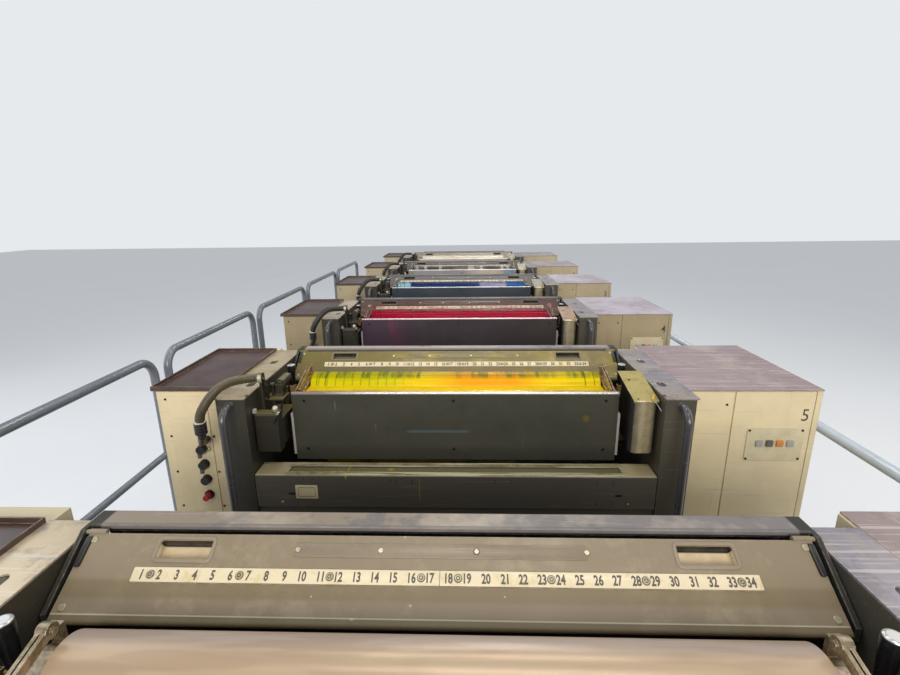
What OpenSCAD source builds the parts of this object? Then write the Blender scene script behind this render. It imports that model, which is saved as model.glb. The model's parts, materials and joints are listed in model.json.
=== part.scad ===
// Six-colour sheet-fed offset printing press: six printing units in a row, with the
// sheet feeder at one end (+Y) and the delivery at the other (-Y).
// Millimetres, +Z up. The origin is on the floor, on the centre line of the press,
// midway between the third and the fourth printing unit.
// Inside a unit, y and z are counted from the middle of its zone scale.

/* [Row of units] */
// Distance from one printing unit to the next
unit_pitch = 1120; // [1110:2:1130]
// Height of the zone scale above the floor
scale_h = 1700; // [1660:10:1800]
// Width of one ink zone on the scale
zone_pitch = 30; // [29:0.5:31]
// Height of the walking level between the units
walk_h = 620; // [600:5:640]

/* [Side frames] */
// Room between the last ink zone and the side frame
zone_end_room = 126; // [122:1:130]
// Thickness of a side frame
frame_t = 90; // [70:1:100]
// Front of a side frame, ahead of the zone scale
tower_front = 425; // [420:1:435]
// Back of a side frame, behind the zone scale
tower_back = 100; // [92:1:106]
// Top of a side frame above the zone scale
tower_top = 30; // [26:1:34]
// Thickness of the cap plate on a side frame
cap_t = 4; // [3:0.5:6]

/* [Roller guard] */
// Slope of the guard that carries the zone scale, in degrees
guard_slope = 34.2; // [33.5:0.1:34.8]
// Depth of the guard in front of its hinge line, counted from the scale
guard_front = 60; // [57:1:61]
// Height of the guard's hinge line above the scale
hinge_up = 38; // [36:1:40]
// Sheet thickness of the guard
guard_t = 4; // [3:0.5:5]
// Length of a recessed handle in the guard
grip_l = 94; // [70:1:110]
// Width of a recessed handle, along the slope
grip_w = 33; // [28:1:36]
// Depth of a recessed handle
grip_d = 16; // [12:1:20]
// Width of the raised bar under the number strip
strip_w = 24; // [20:1:26]

/* [Ink fountain] */
// Radius of the duct roller
duct_r = 55; // [50:0.5:56]
// Distance of the duct roller ahead of the zone scale
duct_ahead = 148; // [145:1:152]
// Depth of the duct roller's centre below the zone scale
duct_below = 36; // [34:1:40]
// Radius of the duct roller's journals
journal_r = 20; // [16:1:22]
// Front of the fountain ahead of the zone scale
fountain_front_y = 290; // [284:1:296]
// Height of the fountain front plate
fountain_plate_h = 246; // [200:2:260]
// Thickness of the fountain front plate
fountain_plate_t = 10; // [8:1:12]
// Thickness of an end cheek of the fountain
cheek_t = 28; // [22:1:30]
// Radius of the throw-off shaft
throw_r = 12; // [10:0.5:13]
// Largest radius of a throw-off lever's grip
lever_r = 14; // [11:0.5:14]
// Length of a throw-off lever's grip
lever_grip_l = 75; // [60:1:80]

/* [Front box and guards] */
// Height of the box under the fountain
box_h = 115; // [100:1:130]
// Depth of the box under the fountain
box_d = 80; // [70:1:84]
// Depth of the box's top below the zone scale
box_below = 230; // [220:1:240]
// Sheet thickness of covers and guards
sheet_t = 3; // [2:0.5:4]

/* [Side cabinets] */
// Width of the cabinets on the left side
left_cabinet_w = 230; // [200:5:240]
// Width of the cabinets on the right side
right_cabinet_w = 412; // [380:4:440]
// Front of the side cabinets, ahead of the zone scale
cabinet_front = 350; // [340:1:360]
// Back of the side cabinets, behind the zone scale
cabinet_back = 145; // [130:1:160]
// Thickness of the cabinets' front panels
panel_t = 4; // [3:0.5:6]
// Gap between neighbouring panels
panel_gap = 4; // [3:0.5:6]
// Width of the inner panel of a right cabinet
inner_panel_w = 142; // [130:1:150]

/* [Handles and hoses] */
// Outside radius of a grab handle's tube
handle_r = 11; // [9:0.5:15]
// Length of a grab handle
handle_l = 520; // [400:10:560]
// Distance of a grab handle's tube from the side frame
handle_out = 55; // [45:1:65]
// Outside radius of the cable hoses
hose_r = 14.5; // [12:0.5:16]

/* [Cylinders] */
// Clearance between rollers and cylinders that face each other
nip_gap = 1; // [0.5:0.1:2]
// Radius of the shafts' ends in the side frames
shaft_r = 30; // [24:1:36]

/* [Galleries] */
// Height of the gallery on the left side
left_deck_h = 600; // [560:10:640]
// Width of the gallery on the left side
left_deck_w = 530; // [480:10:600]
// Height of the gallery on the right side
right_deck_h = 440; // [400:10:480]
// Width of the gallery on the right side
right_deck_w = 290; // [260:10:340]
// Height of a handrail above its gallery
rail_h = 1000; // [950:10:1100]
// Outside radius of the handrails
rail_r = 20; // [16:1:24]

/* [Feeder and delivery] */
// Length of the feed table
table_l = 1100; // [1000:10:1200]
// Length of the feeder's pile bay
feeder_l = 1400; // [1300:10:1500]
// Height of the feeder's side frames
feeder_h = 1500; // [1400:10:1600]
// Length of the delivery's rising part
rise_l = 1100; // [1000:10:1200]
// Length of the delivery's high part
delivery_l = 2700; // [2600:10:2900]
// Height of the delivery
delivery_h = 1760; // [1700:10:1800]

/* [Hidden] */

$fn = 48;

units = 6;
zones = 34;
scale_half = zones * zone_pitch / 2;
// inner and outer faces of the side frames
inner = scale_half + zone_end_room;
outer = inner + frame_t;
// thin gaps between pieces that stand next to each other
seam = 2;
small_gap = 4;
// least clearance of a moving piece
move_gap = 5;
// running clearance of a shaft in its bore
run_gap = 0.05;

// floor level and walking level, counted from the scale
floor_z = -scale_h;
walk_z = walk_h - scale_h;
footboard_t = 8;
// room between two towers, and the half of it that belongs to each unit
tower_room = unit_pitch - tower_front - tower_back;
cell_front = tower_front + tower_room / 2 - seam / 2;
cell_back = tower_back + tower_room / 2 - seam / 2;

// guard: slope as a gradient, hinge line and sizes along the slope
grade = tan(guard_slope);
hinge_y = 58;
guard_half = inner - 17;
rim_half = inner - 3;
hinge_pin_r = 4;
knuckle_r = 5;
guard_back = hinge_y - 3;

// duct roller and fountain
duct_half = scale_half - 4;
duct_y = -duct_ahead;
duct_z = -duct_below;
lip_z = -2;
plate_half = scale_half + 32;
blade_gap = 1;
trough_half = duct_half + 4;
throw_y = -140;
throw_z = -152;
trough_bottom = -185;
lever_x = inner - 46;
hub_r = 18;
lever_top = 47;
cheek_outer = trough_half + cheek_t;

// front box
box_top = -box_below;
box_half = inner - 3;

// cabinets
cabinet_x = outer + small_gap;
left_out = cabinet_x + left_cabinet_w;
right_out = cabinet_x + right_cabinet_w;
cabinet_top = tower_top - cap_t;
post_w = 19;
key_panel_x = right_out - 212;
key_panel_w = 175;
key_panel_h = 110;
key_panel_top = -100;

// cylinders: a sheet cylinder fills half the unit pitch; the plate and blanket cylinders,
// half its size, share the room between it and the lowest inking roller
sheet_r = unit_pitch / 4 - nip_gap;
inking_low = -521;
inking_room = 21;
sheet_y = -200;
sheet_z = floor_z + 320;
cylinder_r = (inking_low - inking_room - sheet_z - sheet_r - 2 * nip_gap) / 4;
blanket_y = -220;
blanket_z = sheet_z + sqrt(pow(sheet_r + cylinder_r + nip_gap, 2) - pow(blanket_y - sheet_y, 2));
plate_y = -205;
plate_z = blanket_z + sqrt(pow(2 * cylinder_r + nip_gap, 2) - pow(plate_y - blanket_y, 2));
gutter = 10;

// inking rollers of a unit: place and radius
INK_ROLLERS = [
    [-45, -118, 32], [10, -178, 45], [30, -259, 36], [-10, -335, 45],
    [-60, -400, 36], [-101, -470, 45], [-235, -425, 36], [-323, -476, 45]
];

// hose route in a unit, from the clamp on the left gearbox to the cabinet's socket
HOSE_POINTS = [
    [-622, -337, 66], [-634, -341, 67], [-648, -350, 68], [-663, -363, 70], [-680, -382, 72],
    [-697, -402, 70], [-713, -423, 61], [-729, -438, 44], [-744, -447, 23], [-757, -450, 2],
    [-767, -448, -18], [-773, -444, -38]
];
hose_end = HOSE_POINTS[len(HOSE_POINTS) - 1];

// feeder and delivery, in the press's own frame
row_back = unit_y(1) + cell_back;
row_front = unit_y(units) - cell_front;
table_low = walk_h + 130;
table_high = walk_h + 330;
feeder_start = row_back + table_l;
feeder_end = feeder_start + feeder_l;
wall_t = 80;
rise_start = row_front - tower_room / 2;
rise_end = rise_start - rise_l;
delivery_end = rise_end - delivery_l;
feeder_pile_y0 = feeder_start + 260;
feeder_pile_y1 = feeder_end - 220;
chain_in = 85;

function unit_y(k) = ((units + 1) / 2 - k) * unit_pitch;

// points on an arc round (cx, cy)
function arc(cx, cy, r, a0, a1, n = 5) =
    [for (i = [0:n]) let (a = a0 + (a1 - a0) * i / n) [cx + r * cos(a), cy + r * sin(a)]];

// outline of a rectangle with round corners
function round_box(x0, y0, x1, y1, r, n = 4) = concat(
    arc(x0 + r, y0 + r, r, 180, 270, n), arc(x1 - r, y0 + r, r, 270, 360, n),
    arc(x1 - r, y1 - r, r, 0, 90, n), arc(x0 + r, y1 - r, r, 90, 180, n));

// puts a unit's own frame at unit k
module at_unit(k) {
    translate([0, unit_y(k), scale_h]) children();
}

module each_unit() {
    for (k = [1:units]) at_unit(k) children();
}

// extrudes an outline drawn in (y, z) from x0 to x1
module across(x0, x1) {
    translate([x0, 0, 0]) rotate([90, 0, 90]) linear_extrude(x1 - x0) children();
}

// the same piece on both sides
module both_sides() {
    children();
    mirror([1, 0, 0]) children();
}

module bar_x(x0, x1, y, z, r) {
    translate([x0, y, z]) rotate([0, 90, 0]) cylinder(r = r, h = x1 - x0);
}

module block(x0, x1, y0, y1, z0, z1) {
    translate([x0, y0, z0]) cube([x1 - x0, y1 - y0, z1 - z0]);
}

// slot with round ends, along y, cut down through a plate
module stadium_cut(x, y, l, w, z0, h) {
    translate([x, y, z0]) {
        translate([0, -(l - w) / 2, 0]) cylinder(d = w, h = h);
        translate([0, (l - w) / 2, 0]) cylinder(d = w, h = h);
        translate([-w / 2, -(l - w) / 2, 0]) cube([w, l - w, h]);
    }
}

// Side frames: a tower on a foot that fills the unit's share of the row

frame_fillet = 12;

module frame_outline() {
    foot_top = walk_z - footboard_t;
    fillet = frame_fillet;
    top = tower_top - cap_t;
    polygon(concat(
        [[-cell_front, floor_z], [cell_back, floor_z], [cell_back, foot_top]],
        arc(tower_back + fillet, foot_top + fillet, fillet, 270, 180),
        [[tower_back, top], [-tower_front, top]],
        arc(-tower_front - fillet, foot_top + fillet, fillet, 0, -90),
        [[-cell_front, foot_top]]));
}

module side_frame() {
    across(inner, outer) frame_outline();
}

module side_frames_right() {
    color([0.22, 0.22, 0.23]) each_unit() side_frame();
}

module side_frames_left() {
    color([0.22, 0.22, 0.23]) each_unit() mirror([1, 0, 0]) side_frame();
}

// Cap plate on a tower, with two slots and a small hole

module frame_cap() {
    cap_end = cabinet_x + small_gap;
    difference() {
        block(inner, cap_end, -tower_front, tower_back, tower_top - cap_t, tower_top);
        stadium_cut(inner + 50, -58, 44, 26, tower_top - cap_t - 1, cap_t + 2);
        stadium_cut(inner + 32, -300, 44, 26, tower_top - cap_t - 1, cap_t + 2);
        translate([inner + 39, -180, tower_top - cap_t - 1]) cylinder(r = 6, h = cap_t + 2);
        // notch in the inner edge, near the front
        block(inner - 1, inner + 9, -408, -384, tower_top - cap_t - 1, tower_top + 1);
    }
}

module frame_caps() {
    color([0.56, 0.53, 0.55]) each_unit() both_sides() frame_cap();
}

// Stay tubes and drip pan that join the two side frames of a unit

module frame_stays() {
    low_r = 45;
    high_r = 33;
    pan_t = 6;
    // between two sheet cylinders, and beside the top of one
    between = sheet_y - unit_pitch / 4;
    beside = 0.72 * sheet_r;
    color([0.25, 0.25, 0.26]) each_unit() {
        block(-inner, inner, -cell_front, cell_back, floor_z, floor_z + pan_t);
        bar_x(-inner, inner, between, floor_z + 110, low_r);
        // two stays under the walking boards
        for (y = [sheet_y + unit_pitch / 2 - beside, sheet_y - unit_pitch / 2 + beside])
            bar_x(-inner, inner, y, walk_z - footboard_t - high_r, high_r);
    }
}

// Grab handle: a D of bent tube with a flange at each end

module grab_handle() {
    bend = 40;
    x = inner + frame_t / 2 + 2;
    top = 7;
    face = -tower_front;
    flange_t = 3;
    translate([x, face, top]) {
        for (s = [0, 1]) translate([0, 0, s ? -handle_l : 0]) {
            translate([0, -handle_out + bend, 0]) rotate([90, 0, 0]) mirror([0, 0, 1])
                cylinder(r = handle_r, h = handle_out - bend);
            rotate([90, 0, 0]) cylinder(r = handle_r + 2.5, h = flange_t);
        }
        translate([0, -handle_out + bend, -bend]) rotate([90, 0, -90]) handle_bend(bend);
        translate([0, -handle_out + bend, -handle_l + bend]) rotate([-90, 0, -90]) handle_bend(bend);
        translate([0, -handle_out, -handle_l + bend]) cylinder(r = handle_r, h = handle_l - 2 * bend);
    }
}

// quarter of a ring that turns the tube from level to upright
module handle_bend(bend) {
    rotate_extrude(angle = 90) translate([bend, 0]) circle(r = handle_r, $fn = 24);
}

module grab_handles() {
    color([0.45, 0.42, 0.43]) each_unit() both_sides() grab_handle();
}

// Left cabinets with their front panels, ink trays and push buttons

module left_cabinet() {
    block(-left_out, -cabinet_x, -cabinet_front + panel_t, cabinet_back, walk_z, cabinet_top);
}

module left_cabinets() {
    color([0.82, 0.78, 0.66]) each_unit() left_cabinet();
}

// the inspection cover stands this much proud of the front panel
raised_t = 3;

// front panel with a raised inspection cover
module left_cabinet_panel() {
    x0 = -left_out;
    x1 = -cabinet_x;
    block(x0, x1, -cabinet_front, -cabinet_front + panel_t, walk_z + 100, cabinet_top - seam);
    across_panel(x0 + 34, x1 - 67, -460, cabinet_top - 16, raised_t);
    block(x0, x1, -cabinet_front, -cabinet_front + panel_t, walk_z, walk_z + 100 - panel_gap);
}

// raised plate on a front panel, its back on the panel's face
module across_panel(x0, x1, z0, z1, t) {
    translate([0, -cabinet_front, 0]) rotate([90, 0, 0])
        linear_extrude(t) polygon(round_box(x0, z0, x1, z1, 6));
}

module left_cabinet_panels() {
    color([0.86, 0.82, 0.70]) each_unit() left_cabinet_panel();
}

module left_tray() {
    rim = 12;
    lip = 15;
    x0 = -left_out - lip;
    x1 = -cabinet_x - small_gap;
    y0 = -cabinet_front - 3;
    y1 = 94;
    difference() {
        block(x0, x1, y0, y1, cabinet_top, cabinet_top + sheet_t + rim);
        block(x0 + sheet_t, x1 - sheet_t, y0 + sheet_t, y1 - sheet_t,
              cabinet_top + sheet_t, cabinet_top + sheet_t + rim + 1);
    }
}

module left_trays() {
    color([0.28, 0.22, 0.22]) each_unit() left_tray();
}

// one button of a column, on the inspection cover: a bezel and its cap
module push_button(z, bezel_r, cap_r, cap_l) {
    translate([-left_out + 128, -cabinet_front - raised_t, z]) rotate([90, 0, 0]) {
        cylinder(r = bezel_r, h = 6);
        cylinder(r = cap_r, h = cap_l);
    }
}

module push_buttons() {
    color([0.08, 0.08, 0.08]) each_unit() {
        for (z = [-175, -231, -288]) push_button(z, 16, 14.5, 20);
        push_button(-347, 16, 10, 30);
    }
}

// Right cabinets with their panels, top plate and key panel

module right_cabinet() {
    block(cabinet_x, right_out, -cabinet_front + panel_t, cabinet_back, walk_z, cabinet_top);
    block(right_out - post_w + seam, right_out, -cabinet_front, -cabinet_front + panel_t,
          walk_z, cabinet_top);
}

module right_cabinets() {
    color([0.82, 0.78, 0.66]) each_unit() right_cabinet();
}

inner_panel_end = cabinet_x + small_gap + inner_panel_w;

module right_inner_panels() {
    color([0.86, 0.82, 0.70]) each_unit()
        block(cabinet_x + small_gap, inner_panel_end, -cabinet_front, -cabinet_front + panel_t,
              walk_z + small_gap, cabinet_top - seam);
}

module right_outer_panels() {
    color([0.86, 0.82, 0.70]) each_unit()
        block(inner_panel_end + panel_gap, right_out - post_w, -cabinet_front,
              -cabinet_front + panel_t, walk_z + small_gap, cabinet_top - seam);
}

module right_cabinet_tops() {
    color([0.60, 0.55, 0.56]) each_unit()
        block(cabinet_x + small_gap + 1, right_out + 1, -cabinet_front - 3, cabinet_back + 3,
              cabinet_top, tower_top);
}

// key panel: a shallow frame with four square keys
module key_panel() {
    t = 3;
    key = 20;
    pitch = 32;
    y = -cabinet_front;
    z0 = key_panel_top - key_panel_h;
    translate([0, y, 0]) rotate([90, 0, 0])
        linear_extrude(t) polygon(round_box(key_panel_x, z0, key_panel_x + key_panel_w, key_panel_top, 5));
    for (i = [0:3]) {
        x = key_panel_x + key_panel_w / 2 + (i - 1.5) * pitch - key / 2;
        block(x, x + key, y - t - 4, y - t, key_panel_top - 60, key_panel_top - 60 + key);
    }
}

module key_panels() {
    color([0.80, 0.77, 0.66]) each_unit() key_panel();
}

// Ink fountain: front plate, trough with its slanting blade, and end cheeks

module fountain_front() {
    y0 = -fountain_front_y;
    y1 = y0 + fountain_plate_t;
    z0 = lip_z - fountain_plate_h;
    bead = fountain_plate_t / 2;
    bar_x(-plate_half, plate_half, y0 + bead, lip_z - bead, bead);
    block(-plate_half, plate_half, y0, y1, z0, lip_z - bead);
    // folded bottom, and a bar beside each end of the plate
    block(-plate_half, plate_half, y1, y1 + 24, z0, z0 + sheet_t);
    both_sides() block(plate_half, plate_half + 8, y0, y1 + 18, z0 + 20, lip_z - 76);
}

module fountain_fronts() {
    color([0.23, 0.22, 0.22]) each_unit() fountain_front();
}

// the blade lies at 45 degrees under the duct roller, a thin gap away from it
blade_sum = duct_y + duct_z - sqrt(2) * (duct_r + blade_gap);
trough_front = -fountain_front_y + fountain_plate_t;
trough_back = throw_y + throw_r + 18;

module fountain_trough() {
    blade_end = trough_back - 26;
    blade_top = lip_z - 8;
    difference() {
        across(-trough_half, trough_half) polygon([
            [trough_front, blade_top], [blade_sum - blade_top, blade_top],
            [blade_end, blade_sum - blade_end],
            [trough_back, blade_sum - blade_end], [trough_back, trough_bottom],
            [trough_front, trough_bottom]]);
        bar_x(-trough_half - 1, trough_half + 1, throw_y, throw_z, throw_r + 4);
    }
}

module fountain_troughs() {
    color([0.45, 0.44, 0.43]) each_unit() fountain_trough();
}

// end cheek: carries the duct roller and the throw-off shaft, with a pair of clamp arms on top
module fountain_cheek() {
    foot = trough_bottom;
    back = throw_y + 70;
    difference() {
        union() {
            across(trough_half, cheek_outer) polygon(concat(
                [[trough_front, foot], [back, foot]],
                arc(duct_y, duct_z, 40, 0, 120, 8),
                [[trough_front, lip_z - 3]]));
            block(cheek_outer, inner, back - 34, back, foot, foot + 36);
            clamp_arms();
            lever_block();
        }
        bar_x(trough_half - 1, cheek_outer + 1, duct_y, duct_z, journal_r + run_gap);
        bar_x(trough_half - 1, cheek_outer + 1, throw_y, throw_z, throw_r + run_gap);
    }
}

// two slanting bars that lean inward to a round head over the end of the duct roller,
// and the plate behind them
module clamp_arms() {
    foot_y = trough_front + 4;
    foot_z = lip_z;
    run = duct_y - foot_y;
    rise = 18;
    arm_l = run / cos(rise);
    arm_w = 15;
    lean = 0.02;
    x = cheek_outer - 22;
    head_x = x - lean * arm_l;
    translate([0, foot_y, foot_z]) rotate([rise, 0, 0]) {
        for (s = [0, 1]) multmatrix([[1, -lean, 0, x + s * 8], [0, 1, 0, 0], [0, 0, 1, 0]])
            translate([0, 0, -arm_w / 2]) cube([5, arm_l, arm_w]);
        bar_x(head_x - 1, head_x + 15, arm_l, 0, 11);
        bar_x(head_x - 5, head_x + 19, arm_l, 0, 5);
    }
    block(x + 4, cheek_outer, duct_y + 18, duct_y + 26, duct_z + 20, duct_z + 66);
}

// block on the side frame in front of the throw-off lever's hub, and the link above it
module lever_block() {
    front = throw_y - 50;
    back = throw_y - hub_r - 7;
    top = throw_z - 6;
    left = lever_x - 7;
    link_x = lever_x + 18;
    difference() {
        translate([0, back, 0]) rotate([90, 0, 0]) linear_extrude(back - front) polygon([
            [left, top - 69], [left, top - 2], [left + 3, top + 8], [left + 4, top + 38],
            [left + 20, top + 38], [left + 20, top + 12], [left + 38, top - 8],
            [inner, top - 8], [inner, top - 69]]);
        translate([left + 19, front - 1, top - 9]) rotate([-90, 0, 0]) cylinder(r = 4.5, h = 7);
        block(left + 13, left + 25, front - 1, front + 12, top - 70, top - 56);
    }
    block(link_x, link_x + 12, back - 10, throw_y + 2, top - 20, top - 8);
    block(link_x, link_x + 12, throw_y - 10, throw_y + 2, top - 9, throw_z + 117);
}

module fountain_cheeks() {
    color([0.52, 0.45, 0.28]) each_unit() both_sides() fountain_cheek();
}

// Duct roller with its journals

module duct_roller(k) {
    color([0.62, 0.60, 0.60]) at_unit(k) {
        bar_x(-duct_half, duct_half, duct_y, duct_z, duct_r);
        bar_x(-cheek_outer, cheek_outer, duct_y, duct_z, journal_r);
    }
}

// Roller guard: a sloping sheet that carries the zone scale and hinges at its upper edge

module guard_sheet() {
    fold = 12;
    across(-guard_half, guard_half) rotate(guard_slope) {
        s0 = -guard_front / cos(guard_slope);
        s1 = guard_back / cos(guard_slope);
        polygon(concat(
            arc(s0 + fold / 2, -fold / 2, fold / 2, 90, 180),
            [[s0, -fold], [s0 + guard_t, -fold], [s0 + guard_t, -guard_t], [s1, -guard_t], [s1, 0]]));
    }
}

grip_x = scale_half - 25 - grip_l;
// middle of a recessed handle, along the slope
grip_s = 40.5;

// cut or wall of a recessed handle, in the guard's plane
module grip_box(grow, depth, top) {
    translate([grip_x - grow, 0, 0]) rotate([guard_slope, 0, 0])
        translate([0, grip_s - grip_w / 2 - grow, -depth])
            cube([grip_l + 2 * grow, grip_w + 2 * grow, depth + top]);
}

// hinge pin at each end, on the underside of the upper edge
module guard_pins() {
    for (s = [0, 1]) mirror([s, 0, 0]) {
        bar_x(guard_half - 30, rim_half - 2, hinge_y, hinge_up, hinge_pin_r);
        bar_x(guard_half - 30, guard_half, hinge_y, hinge_up, knuckle_r);
        across(guard_half - 30, guard_half) polygon([
            [hinge_y - 22, hinge_up - 17], [hinge_y + 2, hinge_up - 4],
            [hinge_y + 1, hinge_up + 2], [hinge_y - 22, hinge_up - 14]]);
    }
}

module roller_guard(k) {
    color([0.42, 0.39, 0.33]) at_unit(k) {
        difference() {
            union() {
                guard_sheet();
                both_sides() grip_box(3, grip_d + 3, 0);
                guard_pins();
            }
            both_sides() grip_box(0, grip_d, 1);
        }
        rotate([guard_slope, 0, 0]) block(-scale_half, scale_half, -strip_w / 2, strip_w / 2, 0, 1);
    }
}

// Throw-off levers: one shaft across the fountain with a lever and grip at each end

module throw_levers(k) {
    rod_r = 8;
    hub_w = 24;
    color([0.10, 0.10, 0.10]) at_unit(k) {
        bar_x(-lever_x, lever_x, throw_y, throw_z, throw_r);
        both_sides() {
            bar_x(lever_x - hub_w / 2, lever_x + hub_w / 2, throw_y, throw_z, hub_r);
            translate([lever_x, throw_y, throw_z])
                cylinder(r = rod_r, h = lever_top - lever_grip_l - throw_z + 1);
            block(lever_x - 9, lever_x + 9, throw_y - 9, throw_y + 9,
                  lever_top - lever_grip_l - 46, lever_top - lever_grip_l - 4);
            translate([lever_x, throw_y, lever_top - lever_grip_l]) rotate_extrude()
                polygon(concat([[0, 0], [lever_r - 4, 0], [lever_r - 4, 3]],
                    [[lever_r, lever_grip_l - 12]],
                    arc(lever_r - 5, lever_grip_l - 5, 5, 0, 90, 4), [[0, lever_grip_l]]));
        }
    }
}

// Inking rollers, plate and blanket cylinders, and the drums that carry the sheet

module ink_roller(y, z, r) {
    bar_x(-duct_half, duct_half, y, z, r);
    bar_x(-inner, inner, y, z, 12);
}

module ink_rollers() {
    color([0.12, 0.11, 0.13]) each_unit() {
        for (p = INK_ROLLERS) ink_roller(p[0], p[1], p[2]);
    }
}

// a cylinder with bearer rings at its ends and a gap along its body
module gapped_cylinder(y, z, r, gap_w, gap_a) {
    ring_w = 34;
    bearer = inner - 12;
    difference() {
        bar_x(-bearer + ring_w, bearer - ring_w, y, z, r);
        translate([0, y, z]) rotate([gap_a, 0, 0])
            block(-bearer + ring_w - 1, bearer - ring_w + 1, -gap_w / 2, gap_w / 2, r - 42, r + 1);
    }
    for (s = [-1, 1]) {
        x = s * (bearer - ring_w / 2);
        bar_x(x - ring_w / 2, x + ring_w / 2, y, z, r);
    }
    bar_x(-inner, inner, y, z, shaft_r);
}

module printing_cylinders() {
    color([0.50, 0.50, 0.52]) each_unit() {
        gapped_cylinder(plate_y, plate_z, cylinder_r, 60, 100);
        gapped_cylinder(blanket_y, blanket_z, cylinder_r, 60, 80);
    }
}

module sheet_cylinders() {
    color([0.48, 0.48, 0.50]) {
        each_unit() gapped_cylinder(sheet_y, sheet_z, sheet_r, 90, 90);
        for (k = [2:units]) at_unit(k)
            gapped_cylinder(sheet_y + unit_pitch / 2, sheet_z, sheet_r, 90, -90);
    }
}

// Covers of a tower: the top with its side rims, and the sheet down its back

cover_back = tower_back + 15;
// the top cover's back sheet reaches down this far, where the rear cover carries it
cover_drop = 110;
top_flat = hinge_up + 7;

module top_cover() {
    front = hinge_y + knuckle_r + move_gap;
    across(-rim_half, rim_half) polygon(concat(
        [[front, top_flat - 12], [front, top_flat - 3]],
        arc(front + 3, top_flat - 3, 3, 180, 90, 3),
        arc(cover_back - 8, top_flat - 8, 8, 90, 0),
        [[cover_back, -cover_drop], [cover_back - sheet_t, -cover_drop],
         [cover_back - sheet_t, top_flat - 12]]));
    both_sides() difference() {
        across(guard_half + move_gap + 1, rim_half) rim_outline();
        bar_x(guard_half, rim_half + 1, hinge_y, hinge_up, hinge_pin_r + run_gap);
    }
}

// side rim beside the guard, with a round upper corner
module rim_outline() {
    s0 = -52;
    polygon(concat(
        [[s0, s0 * grade - 22], [hinge_y + 14, top_flat - 34], [hinge_y + 14, top_flat]],
        [[hinge_y - 4, top_flat]],
        [[s0, s0 * grade + 2]]));
}

module top_covers() {
    color([0.42, 0.40, 0.38]) each_unit() top_cover();
}

module rear_cover() {
    foot_top = walk_z + 90;
    rib_y = tower_back - 6;
    rib_w = 40;
    block(-inner, inner, rib_y, cover_back, walk_z, foot_top);
    block(-rim_half, rim_half, cover_back - sheet_t - 3, cover_back, foot_top + small_gap, -cover_drop);
    // ribs on its inside, the outer two fixed to the side frames
    for (x = [-inner, -rib_w / 2, inner - rib_w])
        block(x, x + rib_w, rib_y, cover_back - sheet_t - 3, foot_top + small_gap, -cover_drop);
}

module rear_covers() {
    color([0.24, 0.24, 0.25]) each_unit() rear_cover();
}

// Box under the fountain, with a slot along its top

module front_box() {
    slot_half = box_half - 102;
    y0 = -tower_front;
    difference() {
        across(-box_half, box_half) polygon(concat(
            [[y0 + box_d, box_top - box_h], [y0 + box_d, box_top]],
            arc(y0 + 6, box_top - 6, 6, 90, 180),
            [[y0, box_top - box_h]]));
        block(-slot_half, slot_half, y0 + 23, y0 + 55, box_top - 6, box_top + 1);
    }
    // ends stand on brackets fixed to the side frames
    for (s = [-1, 1]) {
        x = s * (inner - 1.5);
        block(x - 1.5, x + 1.5, y0 + 10, y0 + box_d - 10, box_top - box_h + 10, box_top - 20);
    }
}

module front_boxes() {
    color([0.24, 0.24, 0.25]) each_unit() front_box();
}

// Guard sheet from the box down to the walking level, with two recessed handles

module front_guard() {
    y0 = -tower_front + 5;
    z1 = box_top - box_h - small_gap;
    difference() {
        union() {
            across(-box_half, box_half) polygon([
                [y0, z1], [y0 + 24, z1], [y0 + 24, z1 - sheet_t], [y0 + sheet_t, z1 - sheet_t],
                [y0 + sheet_t, walk_z + 110], [y0 + 20 + sheet_t, walk_z], [y0 + 20, walk_z],
                [y0, walk_z + 110]]);
            both_sides() block(330, 330 + grip_l + 6, y0, y0 + grip_d + 3, z1 - 86, z1 - 86 + grip_w + 6);
        }
        both_sides() block(333, 333 + grip_l, y0 - 1, y0 + grip_d, z1 - 83, z1 - 83 + grip_w);
    }
    // side straps that carry the guard on the frames
    both_sides() block(box_half - 20, inner, y0 + sheet_t, y0 + 16, walk_z + 160, z1 - 60);
}

module front_guards() {
    color([0.24, 0.24, 0.25]) each_unit() front_guard();
}

// Right end of the fountain: rounded cover over the zone drives

cover_x0 = inner - 80;
cover_x1 = inner - 6;
drive_front = -tower_front + 40;
drive_back = throw_y - 70;
// top of the cover at its front and at its back
cover_z0 = 4;
cover_z1 = 41;

module zone_drive_cover() {
    r = 20;
    lip = 16;
    z0 = -170;
    // plan with round front edges and an open left side, cut to the slanting top
    intersection() {
        translate([0, 0, z0]) linear_extrude(260) polygon(concat(
            arc(cover_x0 + r, drive_front + r, r, 180, 270, 6),
            arc(cover_x1 - r, drive_front + r, r, 270, 360, 6),
            [[cover_x1, drive_back], [cover_x0 + lip, drive_back]],
            [[cover_x0 + lip, drive_front + r + 6], [cover_x0, drive_front + r + 6]]));
        across(cover_x0 - 1, cover_x1 + 1) polygon([
            [drive_front - 1, z0], [drive_back + 1, z0], [drive_back + 1, cover_z1],
            [drive_front - 1, cover_z0]]);
    }
    // top plate, a little wider than the cover, with a round front edge
    across(cover_x0 - 1, cover_x1 + 2) polygon(concat(
        [[drive_back, cover_z1 - 0.4], [drive_back, cover_z1 + 3]],
        arc(drive_front + 3, cover_z0, 5, 100, 180, 3),
        [[drive_front - 2, cover_z0 - 5], [drive_front, cover_z0 - 5], [drive_front, cover_z0 - 0.4]]));
    // bracket that carries the cover on the side frame
    block(cover_x1, inner, drive_front + 60, drive_back - 20, z0 + 30, z0 + 60);
    // eye on the top plate
    translate([cover_x1 - 16, drive_front + 3, cover_z0 + 10]) rotate([90, 0, 60]) rotate_extrude()
        translate([9, 0]) circle(r = 2.5, $fn = 16);
}

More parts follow.
